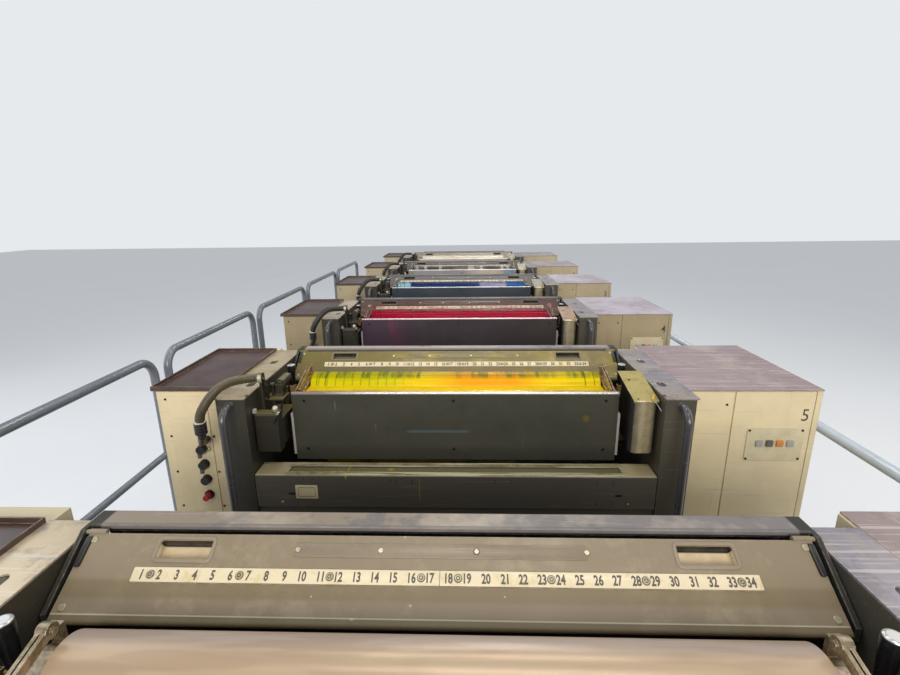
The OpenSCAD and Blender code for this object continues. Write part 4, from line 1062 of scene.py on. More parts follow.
class PRESS_OT_guards(bpy.types.Operator):
    """Adds number strips, numerals, grips, plates and screws to the roller guards"""

    bl_idname = "press.guards"
    bl_label = "Roller guards"

    def execute(self, context):
        sizes, colours = context.scene.press_sizes, context.scene.press_colours
        made = Finish("guard paint", colours.guard_paint, 0.36)
        # each unit's tint: ink on some, and painted shade that darkens units two to four
        made.colour = made.by_unit((140, 132, 118), (86, 84, 83), (88, 85, 84),
                                   (60, 47, 45), (106, 98, 64), colours.guard_paint)
        x, y, z = made.local()
        made.mottle((112, 99, 78), 2.2, 0.35, 0.42, 0.62)
        made.cover((made.blotches(11.0, 0.52, 0.66), made.in_units(5, 6), 0.3), (166, 154, 130))
        made.inked(0.22, 7.0, 0.35, 0.7)
        made.cover((made.in_units(5, 5), made.ramp(x, -0.16, -0.3), 0.6), (88, 80, 42))
        # a darker band just below the number strip: painted shadow of the strip
        made.cover((made.between(y, -0.029, -0.006, 0.003), 0.55), (108, 95, 68))
        # painted shade on the lower lip below the fold, and a painted highlight along the fold
        made.cover((made.ramp(y, -0.0495, -0.0505), 0.6), (96, 86, 58))
        made.cover((made.between(y, -0.0497, -0.0482, 0.0004), 0.5), (206, 196, 172))
        chips = ((-0.135, -0.0495, 0.004, 0.0016), (-0.205, -0.024, 0.0016, 0.0012),
                 (-0.045, -0.033, 0.0022, 0.0014),
                 (0.104, -0.021, 0.0016, 0.0012), (-0.062, 0.0545, 0.0024, 0.0018))
        for u, v, wide, tall in chips:
            made.cover((made.spot(x, y, (u, v), (wide, tall)), made.in_units(6, 6), 0.55),
                       (196, 186, 160))
        made.scratches((190, 178, 152), 150.0, 0.05, 0.68)
        made.patchy_gloss(0.12, 5.0).wear((206, 196, 176), 0.0025, 0.5)
        dress(made.grain(240.0, 0.00005).grain(30.0, 0.0003).done(specular=0.3),
              *each_unit("roller_guard"))
        self.dress_covers()
        finishes = self.finishes(colours)
        numerals = [glyphs(str(n), sizes.numeral_height, 0.045, 0.72) for n in range(1, ZONES + 1)]
        for k in NUMBERS:
            self.add_strip(k, sizes, finishes, numerals)
            self.add_grips(k, sizes, finishes)
        return {"FINISHED"}

    def dress_covers(self):
        """Top covers: each unit's paint with grey smears, painted shade along the front that is
        nearly black at its lower edge, and dark rims.
        """
        made = Finish("top cover paint", (160, 146, 130), 0.32)
        x, y, z = made.local()
        made.colour = made.by_unit((160, 154, 148), (112, 109, 107), (94, 92, 94),
                                   (92, 83, 84), (160, 149, 140), (134, 122, 108))
        made.cover((made.ramp(x, 0.0, 0.3), 0.6, made.in_units(5, 6)), (108, 106, 114))
        made.mottle((104, 100, 98), 4.5, 0.85, 0.52, 0.57)
        made.mottle((178, 166, 148), 5.0, 0.4, 0.5, 0.6)
        # painted shade along the front face, nearly black low on it
        front = made.ramp(y, COVER_EDGE + 0.0065, COVER_EDGE + 0.0055)
        made.cover((front, 0.7), (96, 92, 92))
        made.cover((front, made.ramp(z, 0.0375, 0.0365)), (20, 19, 18), 0.6)
        made.scratches((200, 194, 188), 110.0, 0.12, 0.66)
        rims = made.ramp(made.calc("ABSOLUTE", x), 0.606, 0.610)
        made.cover(rims, (52, 49, 42), 0.4)
        made.patchy_gloss(0.14, 4.0).wear((205, 200, 196), 0.003, 0.4)
        dress(made.grain(160.0, 0.00005).done(specular=0.3), "top_covers")

    def finishes(self, colours):
        """Ivory enamel, numeral ink, black plastic, plate paint and pale screws."""
        ivory = Finish("ivory enamel", colours.strip_ivory, 0.34)
        ivory.mottle((168, 152, 96), 24.0, 0.55, 0.52, 0.64)
        ivory.mottle((204, 190, 150), 8.0, 0.5).inked(0.35, 20.0, 0.5, 0.66)
        ivory.scratches((128, 112, 76), 220.0, 0.25, 0.66)
        ivory.cover((ivory.in_units(4, 4), ivory.blotches(16.0, 0.4, 0.6), 0.7), (150, 60, 70))
        ink = Finish("numeral ink", colours.numeral_grey, 0.5).mottle((96, 88, 78), 240.0, 0.5)
        black = Finish("grip plastic", colours.grip_black, 0.32)
        black.mottle((64, 58, 46), 40.0, 0.35).wear((120, 112, 98), 0.001, 0.5)
        plate = Finish("plate paint", (132, 119, 100), 0.34, 0.1)
        # each unit's tint as on the guards, with painted shade in units two to four
        plate.colour = plate.by_unit((150, 142, 126), (98, 95, 94), (98, 94, 93),
                                     (72, 59, 57), (118, 110, 76), (132, 119, 100))
        plate.mottle((100, 90, 74), 14.0, 0.5).inked(0.3)
        plate.scratches((196, 186, 160), 200.0, 0.15, 0.64)
        plate.wear((186, 174, 150), 0.0012, 0.6)
        # the dish is pale beige in unit six as painted light, and darker in the other units as
        # painted shade
        grip = Finish("grip enamel", (196, 176, 142), 0.4)
        grip.colour = grip.by_unit(*[(110, 100, 84)] * 5, (196, 176, 142))
        along = grip.along_guard()
        # the upper wall of the dish is black: painted shadow
        grip.cover((grip.ramp(along[1], -0.0003, -0.0008), grip.ramp(along[0], 0.048, 0.050)),
                   (18, 17, 16), 0.6)
        # the raised rim in each unit's guard tint, with painted shade in units two to four
        rim = grip.ramp(along[1], 0.0004, 0.0008)
        tints = grip.by_unit((140, 132, 118), (96, 93, 91), (92, 89, 88), (70, 58, 54),
                             (120, 112, 80), (132, 119, 102))
        grip.cover(rim, tints).mottle((110, 96, 74), 50.0, 0.3)
        pale = Finish("pale screw", (206, 198, 180), 0.3, 0.7).mottle((120, 108, 84), 200.0, 0.5)
        grey = Finish("grey screw", (176, 168, 140), 0.34, 0.4).mottle((116, 106, 80), 220.0, 0.6)
        return {"ivory": ivory.done(coat=0.15), "ink": ink.done(), "black": black.done(),
                "grip": grip.done(),
                "plate": plate.done(), "pale": pale.done(), "grey": grey.done()}

    def add_strip(self, k, sizes, finishes, numerals):
        """Two strips end to end with the numbers of their zones, flat screws between some with
        black hoops on their heads as painted shade of their rims and sockets, and the bare plate
        with its screws."""
        body, half = f"roller_guard_{k}", ZONES * ZONE / 2 + 0.0015
        top = BAR_TOP + sizes.strip_thickness
        seam = 0.0004
        strips = [on_guard(slab(half / 2 - seam, sizes.strip_width / 2, sizes.strip_thickness,
                                0.0012, 0.0004),
                           k, side * half / 2, 0, BAR_TOP) for side in (-1, 1)]
        piece(f"number_strip_{k}", strips, finishes["ivory"], body)
        marks = [on_guard(glyph, k, (n + 0.5 - ZONES / 2) * ZONE, 0, top + 0.0001)
                 for n, glyph in enumerate(numerals)]
        piece(f"zone_numbers_{k}", marks, finishes["ink"], body, smooth=False)
        r = sizes.screw_radius * 1.3
        head = turned([(r, 0), (r, 0.0014), (0.85 * r, 0.0022), (0.1 * r, 0.0022)], 16)
        between = (1, 6, 11, 16, 18, 23, 28, 33)
        heads = [on_guard(head, k, (n - ZONES / 2) * ZONE, 0, top) for n in between]
        heads += [on_guard(head, k, side * x, s, 0) for side in (-1, 1) for x, s in
                  ((0.604, 0.055), (0.604, -0.05))]
        piece(f"strip_screws_{k}", heads, finishes["grey"], body)
        marks = []
        # black rings on the screw heads: painted shade of their rims and sockets
        for n in between:
            x = (n - ZONES / 2) * ZONE
            marks += [on_guard(hoop(0.0057, 0.0010, 20, 6), k, x, 0, top + 0.0006),
                      on_guard(hoop(0.0027, 0.0009, 12, 6), k, x, 0, top + 0.0018)]
        # a black ring round a plate screw: painted shade at its rim
        marks.append(on_guard(hoop(0.0046, 0.0008, 16, 6), k, 0.0605, PLATE_ALONG, 0.0016))
        piece(f"screw_marks_{k}", marks, finishes["black"], body)
        plate = [on_guard(slab(0.246, 0.0115, 0.0012, 0.004, 0.0005), k, -0.002, PLATE_ALONG, 0)]
        piece(f"bare_plate_{k}", plate, finishes["plate"], body)
        small = screw(0.0042, 0.0018)
        plate_heads = [on_guard(small, k, x, PLATE_ALONG, 0.0012)
                       for x in (-0.2425, -0.101, 0.0605, 0.2435)]
        piece(f"plate_screws_{k}", plate_heads, finishes["pale"], body)

    def add_grips(self, k, sizes, finishes):
        """Dishes of the recessed grips, each with a raised rim, and the edging of the ends."""
        lip = sizes.cap_gap
        half_x, half_s, deep = 0.0466, 0.0161, 0.0155
        steps = [(0.0, -deep - 0.0003), (0.0, -0.0006), (lip, -0.0001), (lip, 0.0016),
                 (lip * 0.7, 0.0024),
                 (-0.0003, 0.0024), (-0.0012, 0.0012), (-0.002, -deep + 0.002), (-0.004, -deep)]
        rings = []
        for grow, height in steps:
            flat = round_rectangle(half_x + grow, half_s + grow, 0.004 + max(grow, -0.003))
            rings.append(np.column_stack([flat, np.full(len(flat), height)]))
        parts = [on_guard(loft(rings), k, side * GRIP_X, GRIP_ALONG, 0.0001) for side in (-1, 1)]
        piece(f"grip_dishes_{k}", parts, finishes["grip"], f"roller_guard_{k}")
        edging = slab(0.005, 0.025, 0.005, 0.003, 0.0015)
        parts = [on_guard(edging, k, side * 0.613, 0.035, 0.0) for side in (-1, 1)]
        piece(f"guard_edging_{k}", parts, finishes["black"], f"roller_guard_{k}")


class PRESS_OT_fountains(bpy.types.Operator):
    """Finishes the ink fountains and levers, and fills the inked ones"""

    bl_idname = "press.fountains"
    bl_label = "Ink fountains"

    def execute(self, context):
        scene = context.scene
        sizes, colours = scene.press_sizes, scene.press_colours
        self.dress_fronts(colours)
        self.dress_metal()
        self.dress_levers(colours)
        self.add_screws(sizes)
        self.add_ink(sizes, colours)
        return {"FINISHED"}

    def dress_fronts(self, colours):
        """Fronts in the tint that wear and ink have given each unit, with a rounded metal lip
        painted pale as a highlight, a blue smear and a rust spot on the fifth, magenta drips on the
        fourth, and pale bars."""
        made = paint("fountain paint", colours.fountain_paint, (80, 74, 60), 0.36, 0.0,
                     (120, 114, 102), 0.4, 0.0, 0.0, 0.0)
        made.colour = made.by_unit((172, 166, 160), (150, 148, 150), (44, 54, 66),
                                   (52, 43, 49), (60, 60, 52), colours.fountain_paint)
        made.mottle((84, 78, 66), 3.0, 0.3, 0.4, 0.7).streaks((84, 80, 70), 60.0, 0.3)
        made.mottle((44, 44, 40), 22.0, 0.35, 0.55, 0.7)
        x, y, z = made.local()
        fifth, fourth = made.in_units(5, 5), made.in_units(4, 4)
        smear = made.both(made.between(x, -0.155, 0.048, 0.012),
                          made.between(z, -0.1475, -0.1385, 0.002))
        made.cover((smear, fifth, 0.6), (74, 100, 106), 0.4)
        made.cover((made.spot(x, z, (0.439, -0.095), (0.011, 0.012)), fifth, 0.7), (100, 82, 28))
        for u, v, wide, tall in ((-0.397, -0.048, 0.0022, 0.018), (-0.264, -0.128, 0.0014, 0.016)):
            made.cover((made.spot(x, z, (u, v), (wide, tall)), fifth, 0.4), (120, 120, 110))
        made.cover((made.ramp(x, -0.15, -0.5), fourth, 0.5), (76, 50, 74))
        made.cover((made.ramp(x, 0.1, 0.5), fourth, 0.5), (52, 48, 42))
        drips = made.both(made.group("Streaks", Density=70.0, Low=0.5, High=0.56), fourth,
                          made.between(x, -0.43, -0.31, 0.01), made.ramp(z, -0.17, -0.10), 0.6)
        made.cover(drips, (112, 36, 72))
        second = made.in_units(2, 2)
        made.cover((made.between(x, 0.1, 0.4, 0.08), second, 0.7), (200, 184, 160))
        made.cover((made.ramp(x, 0.41, 0.42), second, 0.8), (122, 138, 156))
        # the rounded lip: metal painted pale as a highlight
        lip = made.ramp(z, LIP - 0.009, LIP - 0.0065)
        lip_highlight = made.by_unit((200, 196, 188), (190, 186, 180), (170, 170, 176),
                              (196, 176, 180), (198, 192, 190), (196, 190, 178))
        made.cover(lip, lip_highlight, 0.24, 0.6)
        dull = made.both(lip, made.ramp(x, -0.30, -0.44), fifth, 0.75)
        made.cover(dull, (96, 74, 74), 0.4, 0.2)
        ink = made.group("Ink of the Unit")
        inner = made.both(made.ramp(y, FOUNTAIN_FACE + 0.0055, FOUNTAIN_FACE + 0.008),
                          ink.node.outputs["Strength"])
        made.cover((lip, inner), ink, 0.2, 0.0)
        bars = made.ramp(made.calc("ABSOLUTE", x), 0.5419, 0.5421)
        made.cover(bars, (166, 164, 160), 0.4)
        dress(made.done(), "fountain_fronts")

    def dress_metal(self):
        """Troughs of ground steel, and cheeks of pinkish brass with some of the unit's ink."""
        made = Finish("trough steel", (140, 136, 130), 0.3, 0.7)
        made.mottle((84, 80, 74), 12.0, 0.6).inked(0.95, 6.0, 0.30, 0.5)
        dress(made.patchy_gloss(0.15).done(), "fountain_troughs")
        made = Finish("cheek brass", (160, 134, 96), 0.30, 0.8)
        x, y, z = made.local()
        made.colour = made.by_unit((150, 140, 120), (120, 116, 112), (120, 124, 126),
                                   (150, 112, 112), (160, 136, 98), (158, 144, 118))
        made.cover((made.ramp(x, -0.3, -0.4), made.in_units(5, 5)), (166, 130, 76))
        made.mottle((98, 82, 60), 40.0, 0.7, 0.42, 0.58)
        made.mottle((206, 182, 162), 34.0, 0.6, 0.5, 0.62)
        low = made.ramp(z, -0.02, -0.05)
        made.cover((low, 0.5), (168, 156, 118))
        made.inked(0.4, 22.0, 0.5, 0.62)
        made.patchy_gloss(0.2, 30.0).wear((226, 208, 176), 0.0015, 0.8)
        dress(made.grain(260.0, 0.0002).done(), "fountain_cheeks")

    def dress_levers(self, colours):
        """Black grips with a pale metal cap, a tan neck below them and dull steel further down."""
        made = Finish("lever finish", (96, 88, 78), 0.36, 0.7)
        x, y, z = made.local()
        made.mottle((58, 50, 44), 40.0, 0.8, 0.4, 0.6).inked(0.3, 30.0, 0.5, 0.62)
        made.cover(made.between(z, -0.0745, -0.031, 0.0005), (205, 165, 110), 0.32, 0.5)
        made.cover(made.ramp(z, -0.0285, -0.0275), colours.grip_black, 0.26, 0.0)
        made.cover(made.ramp(z, 0.0440, 0.0450), (196, 194, 190), 0.25, 0.7)
        made.patchy_gloss(0.1, 40.0).wear((80, 78, 76), 0.002, 0.2)
        dress(made.done(coat=0.2), *each_unit("throw_levers"))

    def add_screws(self, sizes):
        """Six screws on each fountain front, and the bolts of the clamp arms."""
        heads, bolts = [], []
        head = screw(sizes.screw_radius * 1.1)
        bolt = turned([(0.0065, 0), (0.0065, 0.004), (0.0055, 0.005), (0.0005, 0.005)], 6)
        for k in NUMBERS:
            for x in (-0.500, 0.0, 0.500):
                for z in (-0.032, -0.207):
                    heads.append(on_front(head, k, x, FOUNTAIN_FACE, z))
            for side in (-1, 1):
                place = in_unit(k, (side * 0.532, DUCT[0], 0.0391))
                bolts.append(moved(bolt, place, (0, 0, 1), (0, side, 0)))
        piece("fountain_screws", heads, bpy.data.materials["blackened screw"])
        piece("clamp_bolts", bolts, bpy.data.materials["screw steel"])

    def add_ink(self, sizes, colours):
        """Ink lies in the wedge between blade and roller: the surface is level with a slow
        ripple, level(x) = h + a sin(9 x) + b sin(31 x), from the blade to the roller."""
        for k, name in ((3, "cyan"), (4, "magenta"), (5, "yellow")):
            colour = getattr(colours, f"ink_{name}")
            made = Finish(f"{name} ink", colour, 0.2).mottle(tuple(0.55 * c for c in colour), 14.0,
                                                             0.5)
            made.grain(60.0, 0.0006)
            x = np.linspace(-0.508, 0.508, 121)
            lift = sizes.ink_level + 0.0012 * np.sin(9 * x + k) + 0.0007 * np.sin(31 * x)
            top = 2 * LIP - 0.0215 + lift
            front = BLADE - top + 0.0002
            under = (DUCT[1] - top) / DUCT_R
            roller = DUCT[0] - DUCT_R * np.sqrt(1 - under ** 2) - 0.0004
            section = [(front, top), ((front + roller) / 2, top - 0.0006), (roller, top + 0.0004),
                       (roller - 0.001, top - 0.004), (front + 0.0042, top - 0.004)]
            rings = np.stack([np.stack([x, scale_y(k) + y, SCALE_H + z], -1) for y,
                              z in section], 1)
            piece(f"fountain_ink_{k}", [loft(rings)], made.done(coat=0.2, specular=0.3))


class PRESS_OT_rollers(bpy.types.Operator):
    """Finishes the duct rollers, the inking rollers and the cylinders"""

    bl_idname = "press.rollers"
    bl_label = "Rollers"

    def execute(self, context):
        colours = context.scene.press_colours
        # the colours of units one and six stand for reflections on a polished roller: painted
        # reflection
        made = Finish("polished roller", (190, 168, 142), 0.3, 0.25)
        made.colour = made.by_unit((206, 196, 176), (22, 21, 24), colours.ink_cyan,
                                   colours.ink_magenta, colours.ink_yellow, (174, 152, 126))
        x, y, z = made.local()
        # unit six: a lilac band at the back and a pale band in front, painted reflections
        back = made.ramp(y, DUCT[0] - 0.008, DUCT[0] + 0.020)
        made.cover((back, made.in_units(6, 6), 0.7), (176, 162, 156))
        made.cover((made.ramp(y, DUCT[0] - 0.030, DUCT[0] - 0.045), made.in_units(6, 6), 0.5),
                   (200, 182, 140))
        # wavy darker bands along the roller: painted reflections
        bands = made.noise(made.stretched(made.where, (0.12, 1.0, 1.0)), 34.0, 2.0)
        made.cover((made.ramp(bands, 0.48, 0.56), 0.35), (146, 122, 100))
        # pale dashes on some zones of unit two: painted highlights
        zone = made.calc("FLOOR", made.calc("DIVIDE", x, ZONE))
        chance = add_node(made.tree, "TexWhiteNoise", {"W": zone}, noise_dimensions="1D").outputs[0]
        made.cover((made.ramp(chance, 0.7, 0.74), made.in_units(2, 2), 0.4), (180, 182, 190))
        made.grain(14.0, 0.0005, (0.25, 1.0, 1.0), 1.0).grain(500.0, 0.00002)
        dress(made.done(), "duct_roller_1", "duct_roller_2", "duct_roller_6")
        films = {3: ("cyan", shade(2, 22, 56)), 4: ("magenta", shade(80, 0, 22)),
                 5: ("yellow", shade(78, 88, 0))}
        for k, (name, deep) in films.items():
            dress(self.film(name, getattr(colours, f"ink_{name}"), deep), f"duct_roller_{k}")
        made = Finish("roller rubber", (22, 21, 23), 0.35).inked(0.25, 4.0, 0.4, 0.6)
        dress(made.mottle((40, 38, 40), 8.0, 0.3).done(), "ink_rollers")
        made = Finish("ground steel", (150, 150, 154), 0.24, 0.9)
        made.mottle((110, 108, 108), 6.0, 0.5).scratches((190, 190, 192), 160.0, 0.4, 0.6)
        made.grain(600.0, 0.00003, (0.02, 1.0, 1.0)).patchy_gloss(0.1)
        dress(made.done(), "printing_cylinders", "sheet_cylinders")
        return {"FINISHED"}

    def film(self, name, ink, deep):
        """An ink film that is thick in some zones and thin in others. Zone = floor(x / zone),
        and a thin zone shows a deep tone along the back of the roller. Cyan and yellow also
        change their tone from stretch to stretch, and two thin rings run round each end."""
        made = Finish(f"{name} film", ink, 0.2)
        x, y, z = made.local()
        if name == "yellow":
            left = made.ramp(x, -0.14, -0.22)
            made.cover((made.between(x, -0.03, 0.27, 0.06), 0.85), (226, 140, 0))
            made.cover((left, 0.75), (176, 176, 0))
            share = made.calc("FRACT", made.calc("DIVIDE", x, ZONE))
            made.cover((left, made.ramp(share, 0.18, 0.10), 0.6), (110, 118, 0))
            made.cover((made.ramp(x, 0.38, 0.42), 0.4), (190, 180, 0))
        elif name == "cyan":
            made.cover((made.between(x, -0.40, 0.14, 0.01), 0.85), (0, 26, 70))
            made.cover((made.ramp(x, -0.40, -0.41), 0.7), (150, 196, 200))
            made.cover((made.between(x, 0.15, 0.36, 0.01), 0.65), (170, 162, 182))
            made.cover((made.ramp(x, 0.365, 0.375), 0.8), (16, 84, 150))
        bands = made.noise(made.stretched(made.where, (0.04, 1.0, 1.0)), 90.0, 2.0)
        made.cover((made.ramp(bands, 0.52, 0.62), 0.4), tuple(0.55 * c for c in ink))
        back = made.ramp(y, DUCT[0] - 0.036, DUCT[0] - 0.028)
        made.cover((back, 0.4), deep)
        zone = made.calc("FLOOR", made.calc("DIVIDE", x, ZONE))
        chance = add_node(made.tree, "TexWhiteNoise", {"W": zone}, noise_dimensions="1D").outputs[0]
        uneven = made.ramp(made.noise(made.stretched(made.where, (6.0, 1.0, 1.0)), 12.0), 0.35, 0.6)
        made.cover((made.ramp(chance, 0.3, 0.4), back, uneven, 0.8), deep, 0.3)
        ends = made.between(made.calc("ABSOLUTE", x), 0.452, 0.456, 0.001)
        far = made.between(made.calc("ABSOLUTE", x), 0.484, 0.487, 0.001)
        made.cover((made.calc("MAXIMUM", ends, far), 0.7), tuple(0.4 * c for c in deep))
        made.grain(26.0, 0.0006, (0.3, 1.0, 1.0), 2.0).grain(160.0, 0.0001, (0.2, 1.0, 1.0))
        return made.done(coat=0.05, coat_roughness=0.1, specular=0.12)


class PRESS_OT_drives(bpy.types.Operator):
    """Finishes the zone drive covers and gearboxes, and adds their hooks and fasteners"""

    bl_idname = "press.drives"
    bl_label = "Drives"

    def execute(self, context):
        made = Finish("brushed aluminium", (196, 184, 154), 0.28, 0.7)
        x, y, z = made.local()
        made.mottle((140, 128, 98), 16.0, 0.5, 0.45, 0.6)
        made.streaks((120, 108, 76), 60.0, 0.5)
        edges = made.both(made.ramp(made.calc("ABSOLUTE", made.calc("SUBTRACT", x, 0.593)),
                               0.022, 0.036), made.ramp(y, -0.34, -0.35))
        made.cover((edges, 0.75), (64, 58, 44), 0.4)
        # a pale stripe down the front of the cover: painted highlight
        made.cover((made.between(x, 0.578, 0.592, 0.006), made.ramp(y, -0.37, -0.38), 0.5),
                   (230, 220, 196))
        up = made.facing_up(0.5, 0.8)
        top = made.by_unit((170, 164, 140), (160, 156, 140), (140, 140, 130),
                           (160, 132, 116), (172, 156, 86), (150, 140, 100))
        made.cover((up, 0.85), top, 0.42, 0.3)
        made.cover((up, made.blotches(30.0, 0.5, 0.62), 0.45), (110, 100, 56), 0.4)
        made.cover((made.between(z, -0.0835, -0.0815, 0.0006), 0.85), (206, 202, 188), 0.3)
        made.scratches((214, 208, 190), 200.0, 0.15, 0.64)
        side = add_node(made.tree, "SeparateXYZ",
                        {0: add_node(made.tree, "NewGeometry").outputs["Normal"]})
        made.cover(made.ramp(side.outputs[0], -0.5, -0.8), (34, 31, 27), 0.5, 0.1)
        made.patchy_gloss(0.1, 14.0).wear((220, 214, 198), 0.002, 0.6)
        made.grain(420.0, 0.00005, (1.0, 1.0, 0.03))
        dress(made.done(), "zone_drive_covers")
        made = paint("gearbox paint", (36, 34, 25), (25, 23, 18), 0.44, 0.5,
                     (112, 102, 62), 0.45, 0.0, 0.4, 0.2)
        up = made.facing_up(0.7, 0.9)
        tops = made.by_unit((70, 68, 64), (60, 58, 56), (66, 68, 70), (100, 66, 62),
                            (112, 102, 54), (96, 88, 60))
        made.cover((up, 0.75), tops, 0.4, 0.1)
        x, y, z = made.local()
        knobs = made.both(made.ramp(z, -0.0375, -0.0365), made.ramp(y, -0.345, -0.350))
        made.cover(knobs, (186, 180, 160), 0.3, 0.4)
        dress(made.grain(90.0, 0.0004).done(), "left_gearboxes")
        self.add_hooks()
        return {"FINISHED"}

    def add_hooks(self):
        """A ring and its wire on each cover, and the cover's screws, which stand on its slope."""
        made = Finish("hook paint", (206, 168, 30), 0.3).mottle((120, 92, 20), 90.0, 0.5)
        hook_paint = made.wear((230, 206, 120), 0.001, 0.4).done(coat=0.3)
        rings, wires, heads = [], [], []
        turn = math.radians(60)
        for k in NUMBERS:
            centre = np.array(in_unit(k, (0.614, -0.382, 0.014)))
            rings.append(moved(hoop(0.0092, 0.0029), centre, (math.cos(turn), math.sin(turn), 0),
                               (0, 0, 1)))
            path = smooth_path([centre + (0.004, -0.004, -0.006), centre + (0.010, -0.009, -0.016),
                                centre + (0.016, -0.014, -0.026),
                                centre + (0.021, -0.018, -0.034)], 4)
            wires.append(tube(path, 0.0016, 8, (0, 0, 1)))
            for x, y in ((0.576, -0.267), (0.571, -0.376)):
                z = 0.0068 + (y + 0.385) * 0.037 / 0.175
                heads.append(moved(screw(0.0045, 0.0022, 10), in_unit(k, (x, y, z))))
        piece("cover_rings", rings, hook_paint)
        piece("cover_wires", wires, bpy.data.materials["screw steel"])
        piece("cover_screws", heads, bpy.data.materials["blackened screw"])


class PRESS_OT_hoses(bpy.types.Operator):
    """Replaces the plain hoses by ribbed ones and finishes their fittings"""

    bl_idname = "press.hoses"
    bl_label = "Hoses"

    def execute(self, context):
        sizes = context.scene.press_sizes
        made = Finish("hose rubber", (72, 64, 44), 0.44)
        black = (34, 32, 32)
        made.colour = made.by_unit(black, black, black, black, (72, 64, 44), (72, 64, 44))
        brown = made.in_units(5, 6)
        made.cover((brown, made.blotches(14.0, 0.46, 0.64), 0.35), (110, 100, 70))
        made.mottle((44, 40, 32), 30.0, 0.35)
        # lighter on the upward faces of the brown hoses: painted highlight
        made.cover((made.facing_up(0.5, 0.95), brown, 0.4), (132, 122, 90))
        rubber = made.patchy_gloss(0.1, 30.0).done()
        fine = smooth_path(HOSE_POINTS, 24)
        run = np.concatenate([[0], np.cumsum(np.linalg.norm(np.diff(fine, axis=0), axis=1))])
        wave = np.cos(2 * math.pi * run / sizes.rib_pitch)
        ribs = HOSE_RADIUS - sizes.rib_depth * (0.5 - 0.5 * wave)
        for k in NUMBERS:
            shift = np.array(in_unit(k, (0, 0, 0)))
            hose = piece(f"cable_hose_{k}", [tube(fine + shift, ribs, 16)], rubber)
            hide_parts("cable_hoses")
        clip = Finish("clip white", (214, 210, 196), 0.4).mottle((150, 140, 116), 60.0, 0.5).done()
        clips = []
        for k in NUMBERS:
            low = fine[-2] + np.array(in_unit(k, (0, 0, 0)))
            along = fine[-1] - fine[-3]
            along /= np.linalg.norm(along)
            side = np.cross(along, (0, 1, 0))
            side /= np.linalg.norm(side)
            band = turned([(HOSE_RADIUS + 0.0002, -0.004), (HOSE_RADIUS + 0.0022, -0.004),
                           (HOSE_RADIUS + 0.0022, 0.004),
                           (HOSE_RADIUS + 0.0002, 0.004)], 20)
            clips.append(moved(band, low, side, np.cross(along, side)))
        piece("hose_clips", clips, clip)
        made = Finish("fitting plastic", (24, 24, 24), 0.36)
        made.mottle((64, 58, 46), 50.0, 0.4).wear((110, 104, 92), 0.0012, 0.5)
        dress(made.done(), "hose_fittings")
        return {"FINISHED"}


class PRESS_OT_galleries(bpy.types.Operator):
    """Finishes the galleries and their handrails"""

    bl_idname = "press.galleries"
    bl_label = "Galleries"

    def execute(self, context):
        colours = context.scene.press_colours
        made = paint("gallery paint", (84, 84, 84), (60, 56, 48), 0.5, 0.6,
                     (150, 148, 142), 0.7)
        up = made.facing_up(0.8, 0.95)
        place = made.stretched(made.where, (30.0, 30.0, 0.0), (0.0, 0.0, math.pi / 4))
        studs = add_node(made.tree, "TexVoronoi",
                         {"Vector": place, "Scale": 1.0, "Randomness": 0.0})
        studs = made.both(made.ramp(studs.outputs[0], 0.3, 0.2), up)
        made.cover((studs, 0.6), (140, 138, 134), 0.35)
        made.heights.append((studs, 0.001))
        dress(made.done(), "gallery_decks")
        rail = paint("rail blue", colours.rail_blue, (66, 68, 74), 0.24, 0.4,
                     (190, 190, 190), 0.4, 0.05, 0.2, 0.3)
        dress(rail.done(coat=0.4), "left_handrails")
        rail = paint("rail pale", colours.rail_pale, (140, 146, 150), 0.22, 0.4,
                     (110, 104, 96), 0.3, 0.0, 0.3, 0.2)
        dress(rail.done(coat=0.4), "right_handrail")
        return {"FINISHED"}


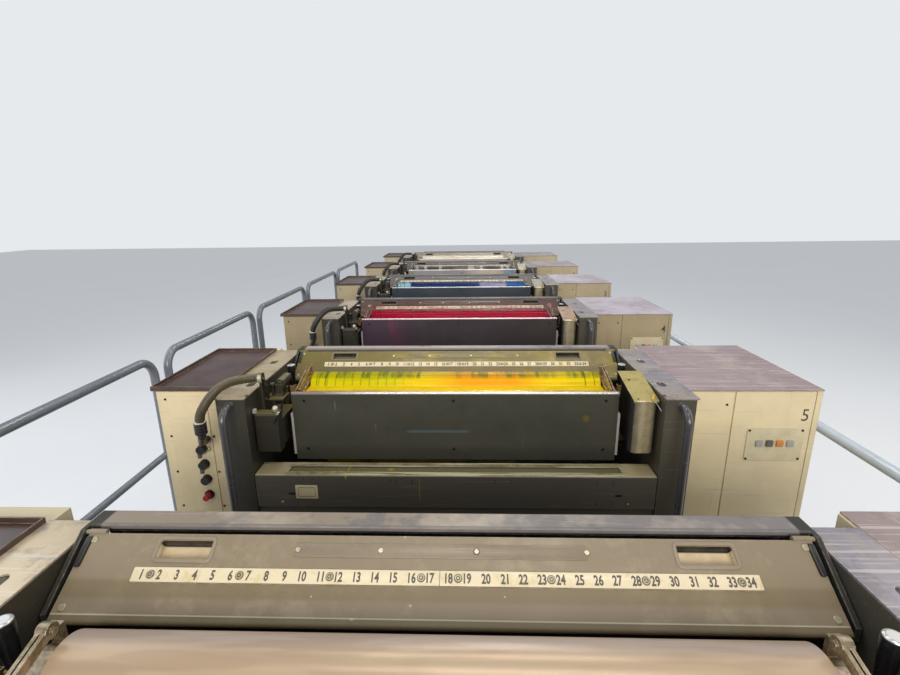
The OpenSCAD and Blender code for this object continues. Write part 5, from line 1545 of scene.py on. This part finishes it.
class PRESS_OT_ends(bpy.types.Operator):
    """Finishes the feeder and the delivery"""

    bl_idname = "press.ends"
    bl_label = "Feeder and delivery"

    def execute(self, context):
        colours = context.scene.press_colours
        cream = paint("end frame cream", colours.cream_paint, (150, 132, 96), 0.38, 0.3,
                      (112, 100, 80), 0.3, 0.0, 0.3, 0.2)
        dress(cream.done(), "feeder_frames", "delivery_frames")
        made = Finish("table steel", (168, 166, 160), 0.3, 0.7)
        made.mottle((120, 116, 108), 5.0, 0.5).scratches((206, 204, 198), 120.0, 0.5, 0.6)
        dress(made.grain(500.0, 0.00004, (0.03, 1.0, 1.0)).done(), "feed_table")
        head = paint("head paint", (96, 98, 102), (66, 64, 60), 0.36, 0.4,
                     (176, 172, 166), 0.6)
        dress(head.done(), "feeder_head", "delivery_hood")
        self.dress_boards()
        return {"FINISHED"}

    def dress_boards(self):
        """Planks across the pile boards: rings drawn out along x, a dark joint every 125 mm."""
        made = Finish("board wood", (158, 124, 82), 0.6)
        rings = made.noise(made.stretched(made.where, (0.06, 1.0, 1.0)), 42.0, 6.0, 0.65)
        made.cover(made.ramp(rings, 0.35, 0.65), (104, 74, 44))
        y = add_node(made.tree, "SeparateXYZ", {0: made.where}).outputs[1]
        share = made.calc("FRACT", made.calc("DIVIDE", made.calc("ADD", y, 20.0), 0.125))
        joint = made.between(share, 0.0, 0.02, 0.01)
        made.cover((joint, 0.8), (46, 34, 22))
        made.heights.append((rings, 0.0006))
        dress(made.mottle((70, 58, 44), 4.0, 0.5).done(), "pile_boards")


STEPS = (PRESS_OT_stage, PRESS_OT_frames, PRESS_OT_cabinets, PRESS_OT_guards, PRESS_OT_fountains,
         PRESS_OT_rollers, PRESS_OT_drives, PRESS_OT_hoses, PRESS_OT_galleries, PRESS_OT_ends)


class PRESS_PT_panel(bpy.types.Panel):
    """Lists the sizes, the colours and the steps"""

    bl_label = "Printing Press"
    bl_idname = "PRESS_PT_panel"
    bl_space_type = "VIEW_3D"
    bl_region_type = "UI"
    bl_category = "Press"

    def draw(self, context):
        column = self.layout.column()
        for group in (context.scene.press_sizes, context.scene.press_colours):
            for name in group.__annotations__:
                column.prop(group, name)
        for step in STEPS:
            column.operator(step.bl_idname)


CLASSES = (PressSizes, PressColours, *STEPS, PRESS_PT_panel)


def register():
    """Adds the classes and their property groups."""
    for item in CLASSES:
        bpy.utils.register_class(item)
    bpy.types.Scene.press_sizes = PointerProperty(type=PressSizes)
    bpy.types.Scene.press_colours = PointerProperty(type=PressColours)


def unregister():
    """Takes them away again."""
    del bpy.types.Scene.press_sizes, bpy.types.Scene.press_colours
    for item in reversed(CLASSES):
        bpy.utils.unregister_class(item)


def build_groups(colours):
    """The shared effects, made once before the finishes that use them."""
    place_group()
    ink_group(colours)
    wear_group()
    blotch_group()
    streak_group()
    scratch_group()


def main():
    """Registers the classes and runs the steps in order."""
    register()
    build_groups(bpy.context.scene.press_colours)
    for step in STEPS:
        area, name = step.bl_idname.split(".")
        getattr(getattr(bpy.ops, area), name)()


if __name__ == "__main__":
    main()
